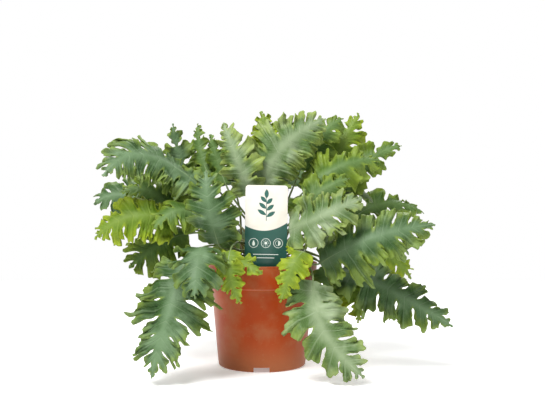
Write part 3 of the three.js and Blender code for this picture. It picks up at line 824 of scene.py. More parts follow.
@dataclass(frozen=True)
class LitAcrylic(Finish):
    """White acrylic table lit faintly from below: matt and almost white, so that shadows on it stay soft."""

    glow: float = 0.3

    def surface(self, tree: bpy.types.NodeTree) -> bpy.types.NodeSocket:
        """Draws the finish.

        Args:
            tree: the material's empty node tree.

        Returns:
            The output that goes to the material's surface.
        """
        place = add_node(tree, COORDINATES, output="Object")
        cloud = add_node(tree, RANGE, span(add_node(tree, NOISE, spots(place, 60)), 0, 1, 0, 0.04))
        mixed = {SHARE: cloud, FIRST: linear("#fdfdfd"), SECOND: linear("#eeeeee")}
        shader = {
            "Base Color": add_node(tree, MIX, mixed, MIXED, data_type="RGBA"),
            "Roughness": 0.9,
            "Emission Color": (1, 1, 1, 1),
            "Emission Strength": self.glow,
        }
        return add_node(tree, SURFACE, shader)


# Pot and compost


@dataclass
class NurseryPot:
    """The injection-moulded 12 cm pot, with a deep rim band, foot notches and drain holes."""

    height: float = 110.8
    foot_radius: float = 46
    body_radius: float = 55.2
    rim_radius: float = 60
    wall: float = 1.5
    band_bottom: float = 87.4
    floor_raise: float = 5.6
    floor_thickness: float = 1.6
    ring_width: float = 4
    boss_radius: float = 12
    drains: int = 6
    drain_radius: float = 4
    drain_ring: float = 29
    notches: int = 4
    notch_width: float = 16.5
    notch_height: float = 5.2
    notch_cut: float = 12
    drain_cut: float = 20
    rounding: float = 1.0
    steps: int = 144

    @property
    def floor_top(self) -> float:
        """Height of the floor's upper side."""
        return self.floor_raise + self.floor_thickness

    def outline(self) -> Outline:
        """The pot's section, from the axis below, round its outside and back inside.

        Returns:
            Radius and height of each point.
        """
        return [
            (0, 0),
            (self.boss_radius, 0),
            (self.boss_radius + 1, self.floor_raise),
            (self.foot_radius - self.ring_width - 1, self.floor_raise),
            (self.foot_radius - self.ring_width, 0),
            (self.foot_radius, 0),
            (self.foot_radius + 1.4, 1.6),
            (self.body_radius, self.band_bottom - 1.4),
            (self.rim_radius - 1.4, self.band_bottom),
            (self.rim_radius - 0.4, self.height - 2),
            (self.rim_radius, self.height),
            (self.rim_radius - self.wall - 0.7, self.height),
            (self.rim_radius - self.wall - 1.5, self.band_bottom + 2),
            (self.body_radius - self.wall, self.band_bottom - 3),
            (self.foot_radius + 0.2, self.floor_top),
            (0, self.floor_top),
        ]

    def cutters(self) -> list[bpy.types.Object]:
        """Blocks for the foot's notches and rods for the floor's drain holes.

        Returns:
            The cutters, notches first.
        """
        made = []
        for i in range(self.notches):
            turn = math.radians(-90 + 360 / self.notches * i)
            reach = (self.foot_radius - 1) * MM
            bpy.ops.mesh.primitive_cube_add(
                size=1, location=(reach * math.cos(turn), reach * math.sin(turn), 0), rotation=(0, 0, turn)
            )
            block = bpy.context.active_object
            block.scale = (self.notch_cut * MM, self.notch_width * MM, self.notch_height * 2 * MM)
            bpy.context.view_layer.update()
            made.append(added("notch"))
        for i in range(self.drains):
            turn = math.radians(360 / self.drains * i)
            x, y = self.drain_ring * math.cos(turn), self.drain_ring * math.sin(turn)
            place = (x * MM, y * MM, self.floor_raise * MM)
            size = {"radius": self.drain_radius * MM, "depth": self.drain_cut * MM}
            bpy.ops.mesh.primitive_cylinder_add(vertices=32, location=place, **size)
            made.append(added("drain"))
        return made

    def build(self, finish: bpy.types.Material) -> None:
        """Spins, cuts and dresses the pot.

        Args:
            finish: the plastic.
        """
        pot = spun("pot_shell", rounded(self.outline(), self.rounding), self.steps)
        for cutter in self.cutters():
            finished_by(pot, "BOOLEAN", operation="DIFFERENCE", solver="EXACT", object=cutter)
            bpy.data.objects.remove(cutter)
        smooth_shaded(pot, 38)
        dressed(pot, "pot", [finish], "pot")


@dataclass
class Compost:
    """The compost that fills the pot, with its crumbs."""

    pot: NurseryPot
    top: float = 98
    edge_drop: float = 2.5
    flat_radius: float = 44
    gap: float = 0.35
    steps: int = 96
    crumbs: int = 950
    crumb_size: tuple[float, float] = (0.7, 2.3)
    crumb_reach: float = 56
    slope_width: float = 13
    lump_size: float = 5.5
    lump_height: float = 0.9
    sunk: float = 0.5
    seed: int = 5

    def outline(self) -> Outline:
        """The compost's section, with its top in short steps so that it can be roughened.

        Returns:
            Radius and height of each point.
        """
        pot, low = self.pot, self.pot.floor_top + self.gap
        edge = pot.rim_radius - pot.wall - 1.8
        side = [
            (0, low),
            (pot.foot_radius - self.gap - 0.2, low),
            (pot.body_radius - pot.wall - self.gap - 0.2, pot.band_bottom - 3),
            (edge - 0.1, pot.band_bottom + 2.2),
            (edge, self.top - self.edge_drop),
        ]
        shares = [k / 6 for k in range(1, 6)]
        slope = [(mix(edge, self.flat_radius, s), self.top - self.edge_drop * (1 - s)) for s in shares]
        flat = [(self.flat_radius * (1 - k / 22), self.top) for k in range(23)]
        return side + slope + flat

    def build(self, finish: bpy.types.Material) -> None:
        """Makes the body and strews the crumbs.

        Args:
            finish: the compost's material.
        """
        body = spun("compost_body", self.outline(), self.steps)
        points = points_of(body)
        upper = points[:, 2] > self.top - self.edge_drop + 0.2
        rough = np.array([noise.fractal(Vector(p) / self.lump_size, 0.9, 2.1, 4) for p in points])
        points[:, 2] += np.where(upper, np.clip(rough, -1, 1) * self.lump_height - self.sunk, 0)
        set_points(body, points)
        smooth_shaded(body)
        dressed(body, "soil", [finish], "soil")
        draw = seeded(self.seed)
        bpy.ops.mesh.primitive_ico_sphere_add(subdivisions=1, radius=MM)
        crumb = added("crumb")
        uneven = points_of(crumb)
        set_points(crumb, uneven * np.array([[draw(0.7, 1.25)] for _ in uneven]))
        places = []
        for _ in range(self.crumbs):
            turn, reach = draw(0, 2 * math.pi), self.crumb_reach * math.sqrt(draw(0, 1))
            height = self.top - self.edge_drop * max(0.0, (reach - self.flat_radius) / self.slope_width)
            size = mix(*self.crumb_size, draw(0, 1) ** 2)
            spot = Matrix.Translation(Vector((reach * math.cos(turn), reach * math.sin(turn), height)) * MM)
            tilt = Euler((draw(0, 6), draw(0, 6), draw(0, 6))).to_matrix().to_4x4()
            places.append(spot @ tilt @ Matrix.Diagonal((size * draw(0.7, 1.5), size, size * 0.7, 1)))
        dressed(scattered("compost_crumbs", crumb, places), "soil", [finish])


@dataclass
class CreepingRhizome:
    """The furry rhizome that lies on the compost and carries every frond."""

    compost: Compost
    arms: int = 5
    sites_per_arm: int = 8
    first_site: float = 9
    site_step: float = 4.9
    swirl: float = 70
    height: float = 7.6
    reach: float = 45
    voxel: float = 0.9
    scales: int = 2600
    knob_size: float = 3.2
    knob_height: float = 0.45
    scale_length: tuple[float, float] = (2.2, 4.6)
    scale_radius: float = 0.16
    scale_sunk: float = 0.2
    seed: int = 9

    @property
    def rest(self) -> float:
        """Height of its underside."""
        return self.compost.top + self.compost.gap

    def site(self, arm: int, radius: float) -> tuple[float, float]:
        """The place on an arm at a radius from the axis."""
        turn = math.radians(360 / self.arms * arm + self.swirl * (radius / self.reach) ** 1.3)
        return radius * math.cos(turn), radius * math.sin(turn)

    def sites(self) -> list[tuple[float, float]]:
        """Where fronds may root."""
        radii = [self.first_site + self.site_step * i for i in range(self.sites_per_arm)]
        return [self.site(arm, radius) for arm in range(self.arms) for radius in radii]

    def arm_tube(self, arm: int) -> bpy.types.Object:
        """One arm, knotted and tapering to its blunt end.

        Args:
            arm: the arm's number.

        Returns:
            The arm as a tube.
        """
        radii = np.linspace(0, self.reach - 2, 24)
        line = np.array([(*self.site(arm, r), self.rest + self.height * 0.46) for r in radii])
        knots = 1 + 0.1 * np.sin(radii * 1.25 + arm * 2)
        taper = 1 - 0.42 * smooth(radii / self.reach, 0.72, 1)
        return tube(f"arm_{arm}", line, self.height * 0.54 * knots * taper, 3)

    def build(self, finish: bpy.types.Material, scale_finish: bpy.types.Material) -> None:
        """Grows the arms together and covers them with scales.

        Args:
            finish: the felt under the scales.
            scale_finish: the scales' material.
        """
        body = joined("rhizome_body", [self.arm_tube(arm) for arm in range(self.arms)])
        finished_by(body, "REMESH", mode="VOXEL", voxel_size=self.voxel * MM, use_smooth_shade=True)
        points = points_of(body)
        normals = np.array([vertex.normal for vertex in body.data.vertices])
        knobs = np.array([noise.fractal(Vector(p) / self.knob_size, 1.0, 2.0, 3) for p in points])
        set_points(body, points + normals * knobs[:, None] * self.knob_height)
        dressed(body, "rhizome", [finish], "rhizome")
        draw = seeded(self.seed)
        cone = {"radius1": self.scale_radius * MM, "depth": MM}
        bpy.ops.mesh.primitive_cone_add(vertices=4, location=(0, 0, 0.5 * MM), **cone)
        scale = added("scale")
        shape = points_of(scale)
        shape[:, 0] *= 2.2
        shape[:, 1] += 0.25 * shape[:, 2] ** 2
        set_points(scale, shape)
        upper = np.flatnonzero(normals[:, 2] > -0.35)
        places = []
        for _ in range(self.scales):
            i = upper[int(draw(0, len(upper) - 1))]
            out = Vector(normals[i])
            along = Vector((points[i][0], points[i][1], 0)).normalized()
            lean = out * draw(0.25, 0.8) + along * draw(0.3, 1.0)
            lean += Vector((draw(-1, 1), draw(-1, 1), draw(-0.5, 0.5))) * 0.45
            turn = lean.to_track_quat("Z", "Y").to_matrix().to_4x4()
            size = draw(*self.scale_length)
            spot = Matrix.Translation(Vector(points[i] + normals[i] * -self.scale_sunk) * MM)
            places.append(spot @ turn @ Matrix.Diagonal((draw(0.8, 1.3), 1, size, 1)))
        dressed(scattered("rhizome_scales", scale, places), "rhizome", [scale_finish])


# Label


@dataclass
class PlantLabel:
    """The printed label on its stake, with a sprig and three signs for care in place of its print."""

    width: float = 43.6
    top: float = 194
    shoulder: float = 101
    point: float = 79
    point_width: float = 6
    thickness: float = 0.8
    corner: float = 3.2
    x: float = 2.2
    y: float = -50.4
    lean: float = 1
    ink_height: float = 0.05

    def outline(self) -> Outline:
        """Its corners across and up, anticlockwise as seen from the front.

        Returns:
            The corners.
        """
        half, foot = self.width / 2, self.point_width / 2
        points = [(-foot, self.point), (foot, self.point), (half, self.shoulder)]
        for side, first in ((1, 0), (-1, 90)):
            for k in range(7):
                turn = math.radians(first + 15 * k)
                middle = side * (half - self.corner)
                up = self.top - self.corner + self.corner * math.sin(turn)
                points.append((middle + self.corner * math.cos(turn), up))
        return [*points, (-half, self.shoulder)]

    def placed(self, piece: bpy.types.Object, forward: float) -> None:
        """Stands a piece that was drawn flat across and up on the label's front.

        Args:
            piece: the flat piece.
            forward: how far before the label's middle it stands.
        """
        points = points_of(piece)
        turn = math.radians(self.lean)
        across = points[:, 0] * math.cos(turn) + points[:, 1] * math.sin(turn)
        up = points[:, 1] * math.cos(turn) - points[:, 0] * math.sin(turn)
        set_points(piece, np.column_stack([across + self.x, self.y - forward - points[:, 2], up]))

    def flat(self, points: Outline, name: str) -> bpy.types.Object:
        """A filled flat shape with the given corners, across and up.

        Args:
            points: the corners in order.
            name: the piece's name.

        Returns:
            The shape.
        """
        bpy.ops.mesh.primitive_circle_add(vertices=len(points), radius=MM, fill_type="NGON")
        shape = added(name)
        set_points(shape, np.array([(x, y, 0) for x, y in points]))
        return shape

    def leaf(self, x: float, y: float, length: float, turn: float, width: float) -> bpy.types.Object:
        """A pointed leaf of the sprig, from its foot at x, y, turned from upright in degrees.

        Args:
            x: its foot across.
            y: its foot up.
            length: its length.
            turn: degrees from upright.
            width: its width.

        Returns:
            The leaf.
        """
        sides = [(math.sin(math.pi * s) ** 0.8 * width / 2, s * length) for s in np.linspace(0, 1, 13)]
        ring = [(w, s) for w, s in sides] + [(-w, s) for w, s in reversed(sides[1:-1])]
        c, s = math.cos(math.radians(turn)), math.sin(math.radians(turn))
        return self.flat([(x + a * c + b * s, y - a * s + b * c) for a, b in ring], "leaf")

    def disc(self, x: float, y: float, radius: float, corners: int = 32) -> bpy.types.Object:
        """A round dot."""
        turns = [2 * math.pi * k / corners for k in range(corners)]
        return self.flat([(x + radius * math.cos(t), y + radius * math.sin(t)) for t in turns], "dot")

    def ring(self, x: float, y: float, radius: float, line: float) -> bpy.types.Object:
        """A thin circle, as an inset disc with its middle taken out.

        Args:
            x: its middle across.
            y: its middle up.
            radius: its outer radius.
            line: its line's thickness.

        Returns:
            The ring.
        """
        disc = self.disc(x, y, radius, 40)
        with editing(disc):
            bpy.ops.mesh.inset(thickness=line * MM)
            bpy.ops.mesh.delete(type="FACE")
        return disc

    def sprig(self) -> list[bpy.types.Object]:
        """A sprig with paired leaves, for the pale part.

        Returns:
            Its stem and leaves.
        """
        stem = [(-0.35, 157.5), (0.35, 157.5), (0.25, 182), (-0.25, 182)]
        shapes = [self.flat(stem, "stem"), self.leaf(0, 180.5, 9.5, 0, 4.4)]
        for k, length in enumerate((10.5, 9.6, 8.4)):
            for side in (1, -1):
                foot = 161.5 + 6.6 * k + (0 if side > 0 else 1.8)
                shapes.append(self.leaf(side * 0.2, foot, length, side * (58 - 7 * k), 4))
        return shapes

    def signs(self) -> list[bpy.types.Object]:
        """A drop, a sun and a half-shaded disc in rings, for the dark part.

        Returns:
            Their flat shapes.
        """
        up, apart, size = 134.5, 12.6, 4.9
        shapes = [self.ring(x * apart, up, size, 0.45) for x in (-1, 0, 1)]
        turns = np.linspace(0, 2 * math.pi, 25)[:-1]
        drop = [(1.9 * math.sin(t) * math.sin(t / 2) ** 1.2, up + 0.1 + 2.9 * math.cos(t)) for t in turns]
        shapes.append(self.flat([(x - apart, y) for x, y in reversed(drop)], "drop"))
        shapes.append(self.disc(0, up, 1.5))
        for k in range(8):
            turn = math.pi * k / 4
            shapes.append(self.leaf(2.1 * math.sin(turn), up + 2.1 * math.cos(turn), 1.5, 45 * k, 0.5))
        turns = np.linspace(-math.pi / 2, math.pi / 2, 20)
        half = [(apart + 2.9 * math.cos(t), up + 2.9 * math.sin(t)) for t in turns]
        shapes += [self.flat(half, "shade"), self.ring(apart, up, 2.9, 0.35)]
        for level, length in ((122.5, 26), (119, 18)):
            end, above = length / 2, level + 0.7
            bar = [(-end, level), (end, level), (end, above), (-end, above)]
            shapes.append(self.flat(bar, "rule"))
        return shapes

    def build(self, finish: bpy.types.Material, dark: bpy.types.Material, pale: bpy.types.Material) -> None:
        """Cuts the sheet and lays the print on its front.

        Args:
            finish: the sheet's material.
            dark: the sprig's ink.
            pale: the signs' ink.
        """
        sheet = self.flat(self.outline(), "label_sheet")
        finished_by(sheet, "SOLIDIFY", thickness=self.thickness * MM, offset=0)
        sharp = {"limit_method": "ANGLE", "angle_limit": math.radians(50)}
        finished_by(sheet, "BEVEL", width=0.16 * MM, segments=2, **sharp)
        self.placed(sheet, 0)
        smooth_shaded(sheet, 40)
        dressed(sheet, "label", [finish], "label")
        for name, shapes, ink in (("label_sprig", self.sprig(), dark), ("label_signs", self.signs(), pale)):
            printed = joined(name, shapes)
            finished_by(printed, "SOLIDIFY", thickness=self.ink_height * MM, offset=0)
            self.placed(printed, self.thickness / 2 + self.ink_height / 2)
            dressed(printed, "label", [ink])


# Fronds


TABLE_STEPS = 64
LOBES_END, END_SINUS, WING = 0.84, 0.3, 3.0
END_DROOP = 0.12
SINUS_BASE, SINUS_TIP, SINUS_POWER, SINUS_JITTER = 97, 40, 0.85, 2.5
LONG_LOBE = 31
STEM_RADIUS, STEM_RISE, STEM_ARRIVE, HOLE_DEPTH = 1.15, 0.5, 0.34, 5

# Outline of a long and a short lobe, from its rear sinus round its tip: share of its free length, and share
# of the way from its middle to the line through the next sinus (1) or the one before (-1)
LONG_EDGE = ((0.2, -0.8), (0.66, -0.9), (0.64, -0.34), (1.0, -0.06), (0.72, 0.28), (0.74, 0.88), (0.2, 0.78))
SHORT_EDGE = ((0.22, -0.78), (0.72, -0.76), (1.0, 0.04), (0.76, 0.74), (0.2, 0.74))
# Half outline of the end lobe: share of its length, and share of the angle between the rib and the last sinus
END_EDGE = ((0.5, 0.62), (0.74, 0.52), (0.66, 0.26), (0.88, 0.16))

# What the solids' own rule may do to a frond to keep it clear of the others
SWINGS = (0, 3, -3, 6, -6, 10, -10)
LIFTS = (0, 6, -6, 12, -12, 18)
SHRINKS = (1, 0.86, 0.74)
BENDS = ((0, 1), (7, 1), (-7, 1), (14, 1), (-14, 1), (0, 0.8), (10, 0.75), (-10, 0.75), (20, 0.9), (-20, 0.9))
BENDS += ((0, 0.6), (8, 0.5), (-8, 0.5))

# Young lime blades are crimped more tightly along their margins
YOUNG_MARGIN = {"ruffle": 2.6, "wave": 12, "tooth_pitch": 9}


@dataclass(frozen=True)
class Frond:
    """One frond as it is placed.

    knee is where the blade starts, mid and tip are further points of its rib, and face is the way its upper
    side looks. half is its longest lobe, and cut is how near the rib the lobes part. roof is the angle at
    which both sides fall from the rib, and sag adds to it towards the margin.
    """

    name: str
    knee: Spot
    mid: Spot
    tip: Spot
    face: Spot
    half: float
    pairs: int
    cut: float
    roof: float
    sag: float
    tone: Tone

    @property
    def seed(self) -> int:
        """The seed for its differences."""
        return seed_of(self.name)

    def moved(self, swing: float, lift: float) -> "Frond":
        """The frond turned about the pot's axis by degrees and raised.

        Args:
            swing: degrees.
            lift: millimetres.

        Returns:
            The moved frond.
        """
        c, s = math.cos(math.radians(swing)), math.sin(math.radians(swing))
        points = [(x * c - y * s, x * s + y * c, z + lift) for x, y, z in (self.knee, self.mid, self.tip)]
        return replace(self, knee=points[0], mid=points[1], tip=points[2])


class Rib:
    """The rib of a blade: an arc measured along its length, with the directions across and up from it."""

    def __init__(self, frond: Frond) -> None:
        """Lays the arc through the frond's three points.

        Args:
            frond: the frond that it belongs to.
        """
        self.frond = frond
        self.knee, mid, self.tip = (np.array(p, float) for p in (frond.knee, frond.mid, frond.tip))
        self.bend = 2 * mid - 0.5 * (self.knee + self.tip)
        self.shares = np.linspace(0, 1, TABLE_STEPS + 1)
        steps = np.linalg.norm(np.diff(self.arc(self.shares), axis=0), axis=1)
        self.lengths = np.concatenate([[0], np.cumsum(steps)])
        self.length = float(self.lengths[-1])
        self.side = unit(np.cross(frond.face, self.ahead(np.array([0.5]))[0]))
        self.twist = math.radians(seeded(frond.seed + 1)(-26, 26))

    def arc(self, shares: np.ndarray) -> np.ndarray:
        """Points of the arc at shares of its parameter."""
        t = shares[:, None]
        return (1 - t) ** 2 * self.knee + 2 * t * (1 - t) * self.bend + t**2 * self.tip

    def ahead(self, shares: np.ndarray) -> np.ndarray:
        """The arc's direction at shares of its parameter."""
        t = shares[:, None]
        return unit((1 - t) * (self.bend - self.knee) + t * (self.tip - self.bend))

    def at(self, distance: np.ndarray) -> tuple[np.ndarray, np.ndarray, np.ndarray, np.ndarray]:
        """Point, and directions ahead, across and up, at distances along the blade.

        Args:
            distance: the distances.

        Returns:
            The points and the three directions, one a row.
        """
        distance = np.atleast_1d(np.asarray(distance, float))
        clamped = np.clip(distance, 0, self.length)
        shares = np.interp(clamped, self.lengths, self.shares)
        ahead = self.ahead(shares)
        point = self.arc(shares) + ahead * (distance - clamped)[:, None]
        side = unit(self.side - ahead * (ahead @ self.side)[:, None])
        up = np.cross(ahead, side)
        roll = (self.twist * (shares - 0.5))[:, None]
        return point, ahead, side * np.cos(roll) + up * np.sin(roll), up * np.cos(roll) - side * np.sin(roll)

    def place(self, x: np.ndarray, y: np.ndarray, hand: int, lift: np.ndarray | float) -> np.ndarray:
        """Places on the blade.

        Args:
            x: distance along the rib.
            y: distance out from it.
            hand: 1 for the side that the rib's side vector points to, and -1 for the other.
            lift: height over the blade.

        Returns:
            The points, one a row.
        """
        x, y = np.asarray(x, float).ravel(), np.asarray(y, float).ravel()
        lift = np.broadcast_to(np.asarray(lift, float).ravel(), x.shape)
        roof, sag = math.radians(self.frond.roof), math.radians(self.frond.sag) / self.frond.half
        out = (np.sin(roof + sag * y) - math.sin(roof)) / sag
        down = (math.cos(roof) - np.cos(roof + sag * y)) / sag
        point, _, side, up = self.at(x)
        return point + side * (hand * out)[:, None] + up * (lift - down)[:, None]


@dataclass
class Lobe:
    """One lobe of a blade, between the lines through the sinuses on either side of it."""

    hand: int
    start: float
    end: float
    start_slope: float
    end_slope: float
    full: float
    flip: int
    lift: float
    curl: float
    twist: float
    cup: float
    bend: float = 0
    kept: float = 1

    @property
    def length(self) -> float:
        """Its length, with what the clearing rule has left of it."""
        return self.full * self.kept

    def edge(self, cut: float) -> np.ndarray:
        """Its outline's free points: along its length, and across from its middle.

        Args:
            cut: share of its length where it parts from the next.

        Returns:
            The points.
        """
        shape = LONG_EDGE if self.full > LONG_LOBE else SHORT_EDGE
        turned = shape if self.flip > 0 else [(free, -across) for free, across in reversed(shape)]
        return np.array([(mix(cut, 1, free), across) for free, across in turned])

    def flat(self, along: np.ndarray, across: np.ndarray) -> tuple[np.ndarray, np.ndarray, np.ndarray]:
        """Distance along the rib and out from it, and the signed distance aside from the lobe's middle.

        Args:
            along: shares of its length.
            across: shares of the way to its sinus lines.

        Returns:
            The three distances.
        """
        reach = along * self.length
        x0, y0 = self.start + reach * math.cos(self.start_slope), reach * math.sin(self.start_slope)
        x1, y1 = self.end + reach * math.cos(self.end_slope), reach * math.sin(self.end_slope)
        share = (1 + across) / 2
        aside = across * np.hypot(x1 - x0, y1 - y0) / 2
        return x0 + (x1 - x0) * share, np.maximum(y0 + (y1 - y0) * share, 0.0), aside

    def raised(self, along: np.ndarray, aside: np.ndarray) -> np.ndarray:
        """How far it is raised off the blade."""
        lifted = (self.lift + self.bend) * along**2 + self.curl * along**4
        return lifted + self.twist * aside * along + self.cup * np.abs(aside) * along


class Blade:
    """The blade of one frond: its rib and its lobes, as the solid has them."""

    def __init__(self, frond: Frond) -> None:
        """Draws the lobes with the frond's own seed.

        Args:
            frond: the frond as it is placed.
        """
        self.frond, self.rib = frond, Rib(frond)
        draw = seeded(frond.seed)
        pairs, length = frond.pairs, self.rib.length
        self.starts = [LOBES_END * length * (1 - (1 - j / pairs) ** 1.2) for j in range(pairs + 1)]
        self.slopes: dict[int, list[float]] = {}
        for hand in (1, -1):
            slopes = [mix(SINUS_BASE, SINUS_TIP, (j / pairs) ** SINUS_POWER) for j in range(pairs + 1)]
            self.slopes[hand] = [math.radians(slope + draw(-SINUS_JITTER, SINUS_JITTER)) for slope in slopes]
        self.lobes = [self.lobe(j, hand, draw) for j in range(pairs) for hand in (1, -1)]

    def lobe(self, j: int, hand: int, draw: Draw) -> Lobe:
        """The lobe of pair j on one side.

        Args:
            j: the pair's number.
            hand: 1 or -1 for the side.
            draw: the frond's stream of numbers.

        Returns:
            The lobe.
        """
        t = j / (self.frond.pairs - 1)
        size = 1 - 0.22 * (1 - t / 0.3) ** 2 if t < 0.3 else 1 - 0.5 * ((t - 0.3) / 0.7) ** 1.5
        full = self.frond.half * size * draw(0.84, 1.1)
        flip = -1 if draw(-1, 1) < 0 else 1
        way = 1 if (j + (0 if hand > 0 else 1)) % 2 else -1
        lift = (way * draw(0.04, 0.2) + draw(-0.06, 0.06)) * full * (1 - 0.4 * t)
        curl, twist, cup = draw(-0.26, 0.06) * full, draw(-0.6, 0.6) * (1 - 0.6 * t), draw(-0.1, 0.2)
        edges = (*self.starts[j : j + 2], *self.slopes[hand][j : j + 2])
        return Lobe(hand, *edges, full, flip, lift, curl, twist, cup)

    def edge_points(self, lobe: Lobe) -> np.ndarray:
        """Where a lobe's outline runs in space.

        Args:
            lobe: the lobe.

        Returns:
            The points, one a row.
        """
        along, across = lobe.edge(self.frond.cut).T
        x, y, aside = lobe.flat(along, across)
        return self.rib.place(x, y, lobe.hand, lobe.raised(along, aside))


def misfit(points: np.ndarray, solid: np.ndarray) -> float:
    """The mean distance from points to the nearest vertex of a solid."""
    return float(np.linalg.norm(points[:, None] - solid[None], axis=2).min(axis=1).mean())


def settled(frond: Frond, solid: np.ndarray) -> Blade:
    """The blade as the clearing rule left it, found by what fits the CAD solid best.

    Args:
        frond: the frond as it was drawn.
        solid: the vertices of its CAD node in millimetres.

    Returns:
        The blade with the same swing, lift, size and bent lobes as the solid.
    """
    best = None
    for lift in LIFTS:
        for swing in SWINGS:
            moved = frond.moved(swing, lift)
            rib = Rib(moved)
            gap = misfit(rib.at(np.array([0, 0.3, 0.5, LOBES_END]) * rib.length)[0][[0, 3]], solid)
            if best is None or gap < best[0] - 1e-6:
                best = (gap, moved)
    chosen = None
    for shrink in SHRINKS:
        blade = Blade(replace(best[1], half=frond.half * shrink))
        total = 0.0
        for lobe in blade.lobes:
            fits = []
            for bend, kept in BENDS:
                lobe.bend, lobe.kept = bend, kept
                fits.append((misfit(blade.edge_points(lobe), solid), bend, kept))
            gap, lobe.bend, lobe.kept = min(fits)
            total += gap
        if chosen is None or total < chosen[0]:
            chosen = (total, blade)
    LOG.info("%s: solid matched to %.2f mm", frond.name, chosen[0] / len(chosen[1].lobes))
    return chosen[1]


@dataclass
class FineFrond:
    """A frond drawn finely over the form of its solid: waved margins, a tapering rib and a round stem."""

    blade: Blade
    site: tuple[float, float]
    ground: float
    pitch: float = 1.7
    rows: int = 11
    thickness: float = 0.62
    ruffle: float = 2.4
    wave: float = 16
    tooth: float = 3.6
    tooth_pitch: float = 11
    pleat: float = 0.5
    crumple: float = 3.8
    crumple_size: float = 42
    dent: float = 1.1
    dent_size: float = 15
    groove: float = 0.35
    groove_width: float = 0.9
    foot_radius: float = 1.3
    stem_radii: tuple[float, float] = (1.25, 1.0)
    rib_radii: tuple[float, float] = (0.85, 0.12)
    rib_end: float = 0.97
    rib_sunk: float = 0.3

    def __post_init__(self) -> None:
        """Starts the frond's own stream of small differences."""
        self.draw = seeded(self.blade.frond.seed + 7)
        self.spread = 1 - (1 - np.linspace(0, 1, self.rows + 1)) ** 1.2

    def teeth(self, x: np.ndarray, y: np.ndarray, free: np.ndarray) -> tuple[np.ndarray, np.ndarray]:
        """An outline pushed out into small teeth where it is free.

        Args:
            x: the outline's distances along the rib.
            y: its distances out from the rib.
            free: how free each point is, from 0 to 1.

        Returns:
            The new distances along and out.
        """
        dx, dy = np.gradient(x), np.gradient(y)
        size = np.maximum(np.hypot(dx, dy), 1e-9)
        travelled = np.cumsum(size)
        push = np.zeros_like(travelled)
        for share in (1.0, 0.42):
            pitch, start = self.tooth_pitch * share * self.draw(0.8, 1.2), self.draw(0, 1)
            saw = (travelled / pitch + start) % 1
            point = np.minimum(saw / 0.62, (1 - saw) / 0.38)
            push += self.tooth * share**1.4 * (point**1.3 - 0.42)
        return x - dy / size * push * free, y + dx / size * push * free

    def crumpled(self, x: np.ndarray, y: np.ndarray) -> np.ndarray:
        """Broad, uneven hills and hollows of the blade with smaller dents on them, from slanted waves.

        Args:
            x: distances along the rib.
            y: distances out from it.

        Returns:
            How far each place is raised.
        """
        hills = np.zeros_like(x)
        for height, size in ((self.crumple, self.crumple_size), (self.dent, self.dent_size)):
            for _ in range(5):
                turn, length = self.draw(0, math.pi), size * self.draw(0.6, 1.3)
                way = (x * math.cos(turn) + y * math.sin(turn)) / length
                hills += height * 0.45 * np.sin(2 * np.pi * way + self.draw(0, 6.28))
        return hills * smooth(y, 3, 20)

    def ruffled(self, r: np.ndarray, travelled: np.ndarray, free: np.ndarray) -> np.ndarray:
        """The waves of the margin, for rows at shares r and columns at lengths along the outline.

        Args:
            r: shares of the way out.
            travelled: lengths along the outline.
            free: how free each column is, from 0 to 1.

        Returns:
            How far each place is raised.
        """
        waves = np.zeros_like(travelled)
        for share in (1.0, 0.55):
            length = self.wave * share * self.draw(0.85, 1.2)
            waves += share * np.sin(2 * np.pi * travelled / length + self.draw(0, 6.28))
        return self.ruffle * r**4 * waves * free

    def lobe_part(self, lobe: Lobe, rear: float, front: float, count: int, cut: float) -> Grid:
        """The grid of one lobe, from the rib out to its outline.

        Args:
            lobe: the lobe.
            rear: how far out the sinus behind it is.
            front: how far out the sinus before it is.
            count: how many columns it has, with both sinus lines.
            cut: share of its length where it parts from the next.

        Returns:
            Grids of the place in the flat, the height and what the finish reads, one row for each step.
        """
        control = np.vstack([[(rear / lobe.length, -1)], lobe.edge(cut), [(front / lobe.length, 1)]])
        flat_x, flat_y, _ = lobe.flat(control[:, 0], control[:, 1])
        line = even_curve(np.column_stack([flat_x, flat_y, control]), count, 0.42)
        along, across = line[:, 2], line[:, 3]
        edge_x, edge_y, _ = lobe.flat(along, across)
        s = np.linspace(0, 1, count)
        free = smooth(np.minimum(s, 1 - s), 0.02, 0.16)
        travelled = np.concatenate([[0], np.cumsum(np.hypot(np.diff(edge_x), np.diff(edge_y)))])
        edge_x, edge_y = self.teeth(edge_x, edge_y, free * smooth(along, cut, 0.8))
        r = self.spread[:, None]
        base = lobe.start + s * (lobe.end - lobe.start)
        x, y = base + r * (edge_x - base), np.maximum(r * edge_y, 0)
        a, c = r * along, (2 * s - 1) * (1 - r) + r * across
        width = np.hypot(
            lobe.end - lobe.start + a * lobe.length * (math.cos(lobe.end_slope) - math.cos(lobe.start_slope)),
            a * lobe.length * (math.sin(lobe.end_slope) - math.sin(lobe.start_slope)),
        )
        aside = c * width / 2
        sinus = np.where(c < 0, rear, front) / lobe.length
        held = smooth(np.abs(c), 0.45, 1) * (1 - smooth(a, sinus, sinus + 0.35 * (1 - sinus)))
        folds = self.draw(1.3, 2.1)
        pleats = self.pleat * smooth(a, 0.05, 0.6) * np.cos(2 * np.pi * c * folds + self.draw(-0.6, 0.6))
        groove = -self.groove * np.exp(-((aside / self.groove_width) ** 2)) * smooth(a, 0, 0.1)
        waved = pleats + groove + self.ruffled(r, travelled, free) + self.crumpled(x, y)
        lift = (lobe.raised(a, aside) + waved) * (1 - held)
        lift *= smooth(r, 0, 0.12)
        placed = {"x": x, "y": y, "lift": lift}
        return placed | {"aside": np.abs(aside), "reach": a * lobe.length, "margin": r + 0 * a, "out": y}

